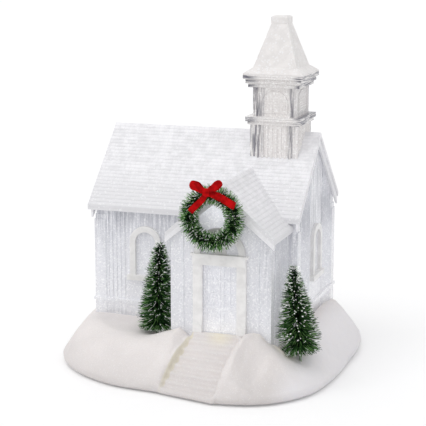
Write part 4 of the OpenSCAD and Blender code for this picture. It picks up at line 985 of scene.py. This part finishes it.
def strays(work):
    """The faces of a mesh that don't hang together with its largest part."""
    parts, seen = [], set()
    for first in work.faces:
        if first in seen:
            continue
        part, rim = {first}, [first]
        while rim:
            for edge in rim.pop().edges:
                for other in edge.link_faces:
                    if other not in part:
                        part.add(other)
                        rim.append(other)
        seen |= part
        parts.append(part)
    parts.sort(key=len)
    return [face for part in parts[:-1] for face in part]


def open_below(mesh, node, margin=5, skin=0.6):
    """Deletes the faces that lie under other snow and over a node that closes it, and what this cuts off.

    The node has to lie below a face and below four places round it, a margin away, all in millimetres.
    """
    closing, work = bmesh.new(), bmesh.new()
    closing.from_mesh(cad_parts[node].data)
    below = BVHTree.FromBMesh(closing)
    closing.free()
    work.from_mesh(mesh)
    above = BVHTree.FromBMesh(work)
    up = Vector((0, 0, 1))
    around = [Vector((x, y, 0)) * MM for x in (-margin, margin) for y in (-margin, margin)]
    hidden = []
    for face in work.faces:
        centre = face.calc_center_median()
        if above.ray_cast(centre + up * skin * MM, up)[0]:
            if all(below.ray_cast(centre + step, -up)[0] for step in around):
                hidden.append(face)
    bmesh.ops.delete(work, geom=hidden, context="FACES")
    bmesh.ops.delete(work, geom=strays(work), context="FACES")
    work.to_mesh(mesh)
    work.free()


def snow_piece(material):
    """The snow: its CAD shape softened and lumped, with banks along the stairs and against the porch."""
    mesh = remeshed("snow_base", sizes().snow_grid)
    points = values(mesh.vertices, "co")
    x, y, z = (points / MM).T
    left, right, down = stair_ends(y)
    on_stairs = (x > left - 1.5) & (x < right + 1.5) & (down > -0.1)
    by_house = (y > PORCH[2] - 1.5) & (np.abs(x - HOUSE.x) < HOUSE_EDGE)
    in_porch = (x > PORCH[0] + 1) & (x < PORCH[1] - 1) & (y > PORCH[2] + 1)
    free = np.clip((z - RIM) / RIM_EASE, 0, 1)

    weight = by_place(on_stairs, by_house & (z > SHELF), 0.06, 0.35, 0.6)[:, None]
    weight[z < RIM] = 0.2
    soften(mesh, points, weight)

    # Small lumps and broad drifts, so many to the metre
    lumps = np.array([noise.fractal(Vector(p) * 75, 0.7, 2.1, 3) for p in points]) * sizes().snow_lump
    lumps *= by_place(on_stairs, by_house, 0.12, 0.3, 1.0) * (points[:, 2] > RIM * MM)
    drifts = np.array([noise.noise(Vector(p) * 26 + Vector((3.1, 0, 0))) for p in points]) * sizes().snow_drift
    drifts *= by_place(on_stairs, by_house, 0.0, 0.2, 1.0) * free * (y < BACK_EDGE)
    points += values(mesh.vertices, "normal") * (lumps + drifts)[:, None]

    # The banks' crests beside the stairs, and a hollow beyond the right one
    crest = hill(x - right - 5.5, 3.8) + 0.45 * hill(x - left + 6.5, 5.0) - 0.8 * hill(x - right - 20, 8.0)
    swell = np.clip(np.sin(math.pi * np.clip(down * 0.98, 0, 1)), 0, 1) ** 0.5 * ~on_stairs
    points[:, 2] += crest * swell * sizes().bank_crest * free
    beside = np.clip((np.maximum(left - x, x - right) - 2) / 7, 0, 1)
    for bank_x, bank_y, high, wide, deep in BANKS:
        bank = high * MM * hill(x - bank_x, wide) * hill(y - bank_y, deep)
        points[:, 2] += bank * beside * ~in_porch * free
    move(mesh, points)

    open_below(mesh, "base_plate")
    mesh.materials.clear()
    mesh.materials.append(material)
    mesh.polygons.foreach_set("use_smooth", np.full(len(mesh.polygons), True))
    mesh.polygons.foreach_set("material_index", np.zeros(len(mesh.polygons), dtype=np.int32))
    mesh.update()
    return enter("snow_cover", mesh, "snow_base")


# The glitter


def flakes_piece():
    """Flakes of glitter that hang in the water close behind the clear walls."""
    rng = np.random.default_rng(7)
    hx, hy = HOUSE.x, HOUSE.y
    # The share of the flakes behind the front, right, left and back wall, in the nave's middle and in the tower,
    # and the corners of the space that they hang in
    spaces = [
        (0.40, (hx - 76, hy - 49, 44), (hx + 76, hy - 45, 116)),
        (0.14, (hx + 70, hy - 47, 44), (hx + 76, hy + 47, 118)),
        (0.14, (hx - 76, hy - 47, 44), (hx - 70, hy + 47, 118)),
        (0.14, (hx - 76, hy + 45, 44), (hx + 76, hy + 49, 116)),
        (0.10, (hx - 70, hy - 40, 44), (hx + 70, hy + 40, 118)),
        (0.08, (TOWER.x - 12, TOWER.y - 12, 160), (TOWER.x + 12, TOWER.y + 12, 204)),
    ]
    counted = [(int(sizes().flakes * share), low, high) for share, low, high in spaces]
    middles = np.concatenate([rng.uniform(low, high, (many, 3)) for many, low, high in counted])
    n = len(middles)
    first = unit(rng.normal(0, 1, (n, 3)))
    second = unit(np.cross(first, rng.normal(0, 1, (n, 3))))
    size = (sizes().flake / MM) * rng.uniform(0.6, 1.4, (n, 1))
    sixth = math.pi / 3
    rim = [middles + (first * math.cos(k * sixth) + second * math.sin(k * sixth)) * size for k in range(6)]
    thick = np.cross(first, second) * 0.04
    points = np.stack(rim + [middles + thick, middles - thick], axis=1).reshape(-1, 3) * MM
    sides = [(k, (k + 1) % 6, 6) for k in range(6)] + [((k + 1) % 6, k, 7) for k in range(6)]
    faces = (np.array(sides)[None] + (np.arange(n) * 8)[:, None, None]).reshape(-1, 3).tolist()
    white = (rng.random(n) < 0.25).astype(int)
    finishes = [
        glitter_finish("glitter_silver", (0.93, 0.95, 1.0)),
        glitter_finish("glitter_white", (1.0, 0.99, 0.96), 0.35),
    ]
    slots = np.repeat(white, len(sides))
    return piece("glitter_flakes", points, faces, finishes, slots=slots, smooth=False)


# Operators


class CHURCH_OT_snow(bpy.types.Operator):
    """Lay the snow over the base"""

    bl_idname = "church.snow"
    bl_label = "Snow base"

    def execute(self, context):
        snow_piece(snow_finish("cast_snow"))
        return {"FINISHED"}


class CHURCH_OT_walls(bpy.types.Operator):
    """Finish the clear walls, the door leaves and the cornices"""

    bl_idname = "church.walls"
    bl_label = "Clear walls"

    def execute(self, context):
        c = colours()
        left, right = HOUSE.x - HALF_NAVE[0], HOUSE.x + HALF_NAVE[0]
        front, back = HOUSE.y - HALF_NAVE[1], HOUSE.y + HALF_NAVE[1]
        x, y = TOWER.x, TOWER.y
        # Lit, glow and halo are painted glow; the zones give painted shade as dark streaks
        nave = clear_finish(
            "nave_acrylic", c.clear, c.clear_shade,
            [("x", left, 34), ("x", right, 16), ("y", front, 20), ("y", back, 20)],
            grooves=0.08, streaks=0.40, see_through=0.30, lit=0.09, glow=(40, 75, 0.02), high=(76, 118),
        )
        # The porch's halo is painted light on its wall round the wreath, where the strands shade the wall
        porch = clear_finish(
            "porch_acrylic", c.clear, c.clear_shade, [("x", PORCH[1], 18)],
            grooves=0.16, streaks=0.3, see_through=0.30, glow=(28, 65, 0.02), high=(40, 110),
            halo=((WREATH.x, PORCH[2], WREATH.z), 22, 0.26),
        )
        # Painted shade at the tower's and cornices' corners
        tower = clear_finish(
            "tower_acrylic", c.tower, c.tower_shade, [("x", x - 14.5, 10), ("x", x + 13.6, 4.2), ("y", y + 18, 5)],
            groove=2.6, streaks=0.85, see_through=0.25, lit=0.10,
        )
        cornice = clear_finish(
            "cornice_acrylic", c.tower, c.tower_shade, [("x", x - 21, 12), ("x", x + 21, 7), ("y", y + 21, 6)],
            groove=1.6, streaks=1.0, see_through=0.25, lit=0.085, level=True,
        )
        # The door's glow is a painted warm glow at its foot
        door = clear_finish(
            "door_acrylic", c.clear, c.clear_shade,
            groove=2.2, grooves=0.1, see_through=0.3, lit=0.11, glow=(40, 60, 0.045),
        )
        inner = clear_finish("inner_acrylic", c.clear, c.clear_shade, grooves=0.1, see_through=0.6)
        paint(nave, "nave_walls")
        paint(porch, "porch_walls")
        paint(tower, "tower_shaft", "belfry", "belfry_panels")
        paint(cornice, "shaft_cornice", "belfry_cornice")
        paint(door, "left_door_leaf", "right_door_leaf")
        paint(inner, "tank_floor", "impeller_guard")
        return {"FINISHED"}


class CHURCH_OT_roofs(bpy.types.Operator):
    """Frost the roofs, the gable trims and the spire"""

    bl_idname = "church.roofs"
    bl_label = "Frosted roofs"

    def execute(self, context):
        paint(shingle_finish("nave_shingles", 176, 120, 24, "x", SHINGLE), "nave_roof")
        paint(shingle_finish("porch_shingles", 150.5, 113.2, 16, "y", SHINGLE), "porch_roof")
        trim = frosted_finish("frosted_trim", colours().frost)
        paint(trim, "left_gable_trim", "right_gable_trim", "porch_bargeboard")
        paint(frosted_finish("frosted_spire", toned(colours().tower, 0.97)), "spire", "spire_cap")
        return {"FINISHED"}


class CHURCH_OT_trim(bpy.types.Operator):
    """Paint the window frames and the door surround"""

    bl_idname = "church.trim"
    bl_label = "Painted trim"

    def execute(self, context):
        trim = trim_finish("painted_trim")
        paint(trim, "front_window", "left_window", "right_window", "back_windows", "door_surround")
        paint(trim_finish("painted_fanlight", 0.85), "door_fanlight")
        return {"FINISHED"}


class CHURCH_OT_works(bpy.types.Operator):
    """Finish the base plate, the battery box, the lamps, the motor and what it turns"""

    bl_idname = "church.works"
    bl_label = "Works in the base"

    def execute(self, context):
        white = moulded("white_moulding", (0.80, 0.80, 0.78), 0.5)
        steel = metal("zinc_steel", (0.62, 0.63, 0.65), 0.32)
        rubber = moulded("soft_rubber", (0.03, 0.03, 0.032), 0.75, 0.5)
        black = moulded("black_moulding", (0.022, 0.022, 0.024), 0.5)
        wire = metal("twisted_wire", (0.20, 0.25, 0.19), 0.35, twist=1.6)
        paint(white, "base_plate", "battery_box", "battery_door", "motor_cup", "drive_disc", "impeller")
        paint(steel, "base_plate_screws", "board_screws", "motor_cup_screws", "tank_floor_screws")
        paint(steel, "battery_springs", "drive_shaft", "impeller_pin", "drive_magnets", "impeller_magnets")
        paint(rubber, "rubber_feet", "tank_gasket", "fill_plug")
        paint(black, "switch_housing", "switch_slider", "board_components")
        paint(wire, "wreath_hanger", "left_tree_stem", "right_tree_stem")
        paint(metal("nickel_strip", (0.68, 0.67, 0.62), 0.22), "battery_contacts")
        paint(metal("drawn_can", (0.50, 0.51, 0.53), 0.3), "motor")
        paint(moulded("red_lead", (0.45, 0.02, 0.02), 0.42), "leads")
        paint(cell_finish("cell_sleeve"), "battery_cells")
        paint(circuit_finish("lacquered_board"), "circuit_board")
        paint(lamp_finish("warm_lamp"), "led_lamps")
        return {"FINISHED"}


class CHURCH_OT_trees(bpy.types.Operator):
    """Grow the two brush trees"""

    bl_idname = "church.trees"
    bl_label = "Brush trees"

    def execute(self, context):
        brush_tree(
            "left_brush_tree", "left_tree", LEFT_TREE, lean=2.0, tall=68.0, wide=15.0, seed=11, snowy=0.08,
            lumps=240, lump=0.46, foot=2.6, low=0.075, full=0.64, wall=PORCH[0] - 1.2,
        )
        brush_tree(
            "right_brush_tree", "right_tree", RIGHT_TREE, lean=-5.5, tall=62.8, wide=16.0, seed=12, snowy=0.08,
            lumps=420, lump=0.54, foot=-2.2, low=0.02, full=0.8,
        )
        return {"FINISHED"}


class CHURCH_OT_wreath(bpy.types.Operator):
    """Make the brush wreath and its velvet bow"""

    bl_idname = "church.wreath"
    bl_label = "Wreath and bow"

    def execute(self, context):
        wreath_piece()
        bow_piece()
        return {"FINISHED"}


class CHURCH_OT_glitter(bpy.types.Operator):
    """Hang the glitter behind the clear walls"""

    bl_idname = "church.glitter"
    bl_label = "Glitter"

    def execute(self, context):
        flakes_piece()
        return {"FINISHED"}


class CHURCH_OT_stage(bpy.types.Operator):
    """Set the floor, the soft light and the camera"""

    bl_idname = "church.stage"
    bl_label = "Stage"

    def execute(self, context):
        light = context.scene.church_light
        mesh = bpy.data.meshes.new("studio_floor")
        corners = [(x * HALF_FLOOR, y * HALF_FLOOR, 0) for x, y in ((-1, -1), (1, -1), (1, 1), (-1, 1))]
        mesh.from_pydata(corners, [], [(0, 1, 2, 3)])
        new_object("studio_floor", mesh)
        material, tree, shader = finish("studio_floor", Roughness=0.9)
        feed(tree, shader.inputs["Base Color"], (0.88, 0.88, 0.885))
        feed(tree, shader.inputs["Emission Color"], (1, 1, 1))
        feed(tree, shader.inputs["Emission Strength"], times(tree, seen_ray(tree), light.floor))
        mesh.materials.append(material)

        # The world is white to the camera, and lights the church with less
        world = bpy.data.worlds.new("studio")
        context.scene.world = world
        world.use_nodes = True
        tree = world.node_tree
        back = tree.nodes["Background"]
        feed(tree, back.inputs["Color"], (1, 1, 1))
        strength = add(tree, "ShaderNodeMix", {0: seen_ray(tree), 2: light.sky, 3: 1.0}).outputs[0]
        feed(tree, back.inputs["Strength"], strength)

        sun = bpy.data.lights.new("key", "SUN")
        sun.energy = light.key
        sun.angle = math.radians(SUN_SPREAD)
        new_object("key", sun).rotation_euler = aimed(SUN_WAY)

        turn, rise = math.radians(VIEW_TURN), math.radians(VIEW_RISE)
        way = Vector((math.sin(turn) * math.cos(rise), -math.cos(turn) * math.cos(rise), math.sin(rise)))
        lens = bpy.data.cameras.new("view")
        lens.lens = light.lens
        lens.sensor_width = SENSOR
        lens.clip_end = FAR
        camera = new_object("view", lens)
        camera.location = LOOK_AT * MM + way * light.away
        camera.rotation_euler = aimed(-way)
        context.scene.camera = camera
        context.scene.view_settings.view_transform = "Standard"
        return {"FINISHED"}


class CHURCH_PT_panel(bpy.types.Panel):
    """The church's pieces, colours and light"""

    bl_label = "Winter Church"
    bl_idname = "CHURCH_PT_panel"
    bl_space_type = "VIEW_3D"
    bl_region_type = "UI"
    bl_category = "Winter Church"

    def draw(self, context):
        for operator in OPERATORS:
            self.layout.operator(operator.bl_idname)
        for group in (context.scene.church_colours, context.scene.church_sizes, context.scene.church_light):
            box = self.layout.box()
            for name in group.__annotations__:
                box.prop(group, name)


OPERATORS = (
    CHURCH_OT_snow, CHURCH_OT_walls, CHURCH_OT_roofs, CHURCH_OT_trim, CHURCH_OT_works,
    CHURCH_OT_trees, CHURCH_OT_wreath, CHURCH_OT_glitter, CHURCH_OT_stage,
)
GROUPS = {"church_colours": ChurchColours, "church_sizes": ChurchSizes, "church_light": ChurchLight}


def register():
    for group in GROUPS.values():
        bpy.utils.register_class(group)
    for name, group in GROUPS.items():
        setattr(bpy.types.Scene, name, PointerProperty(type=group))
    for operator in OPERATORS:
        bpy.utils.register_class(operator)
    bpy.utils.register_class(CHURCH_PT_panel)


def unregister():
    bpy.utils.unregister_class(CHURCH_PT_panel)
    for operator in reversed(OPERATORS):
        bpy.utils.unregister_class(operator)
    for name, group in GROUPS.items():
        delattr(bpy.types.Scene, name)
        bpy.utils.unregister_class(group)


def main():
    register()
    for operator in OPERATORS:
        name = operator.bl_idname.split(".")[1]
        getattr(bpy.ops.church, name)()


if __name__ == "__main__":
    main()
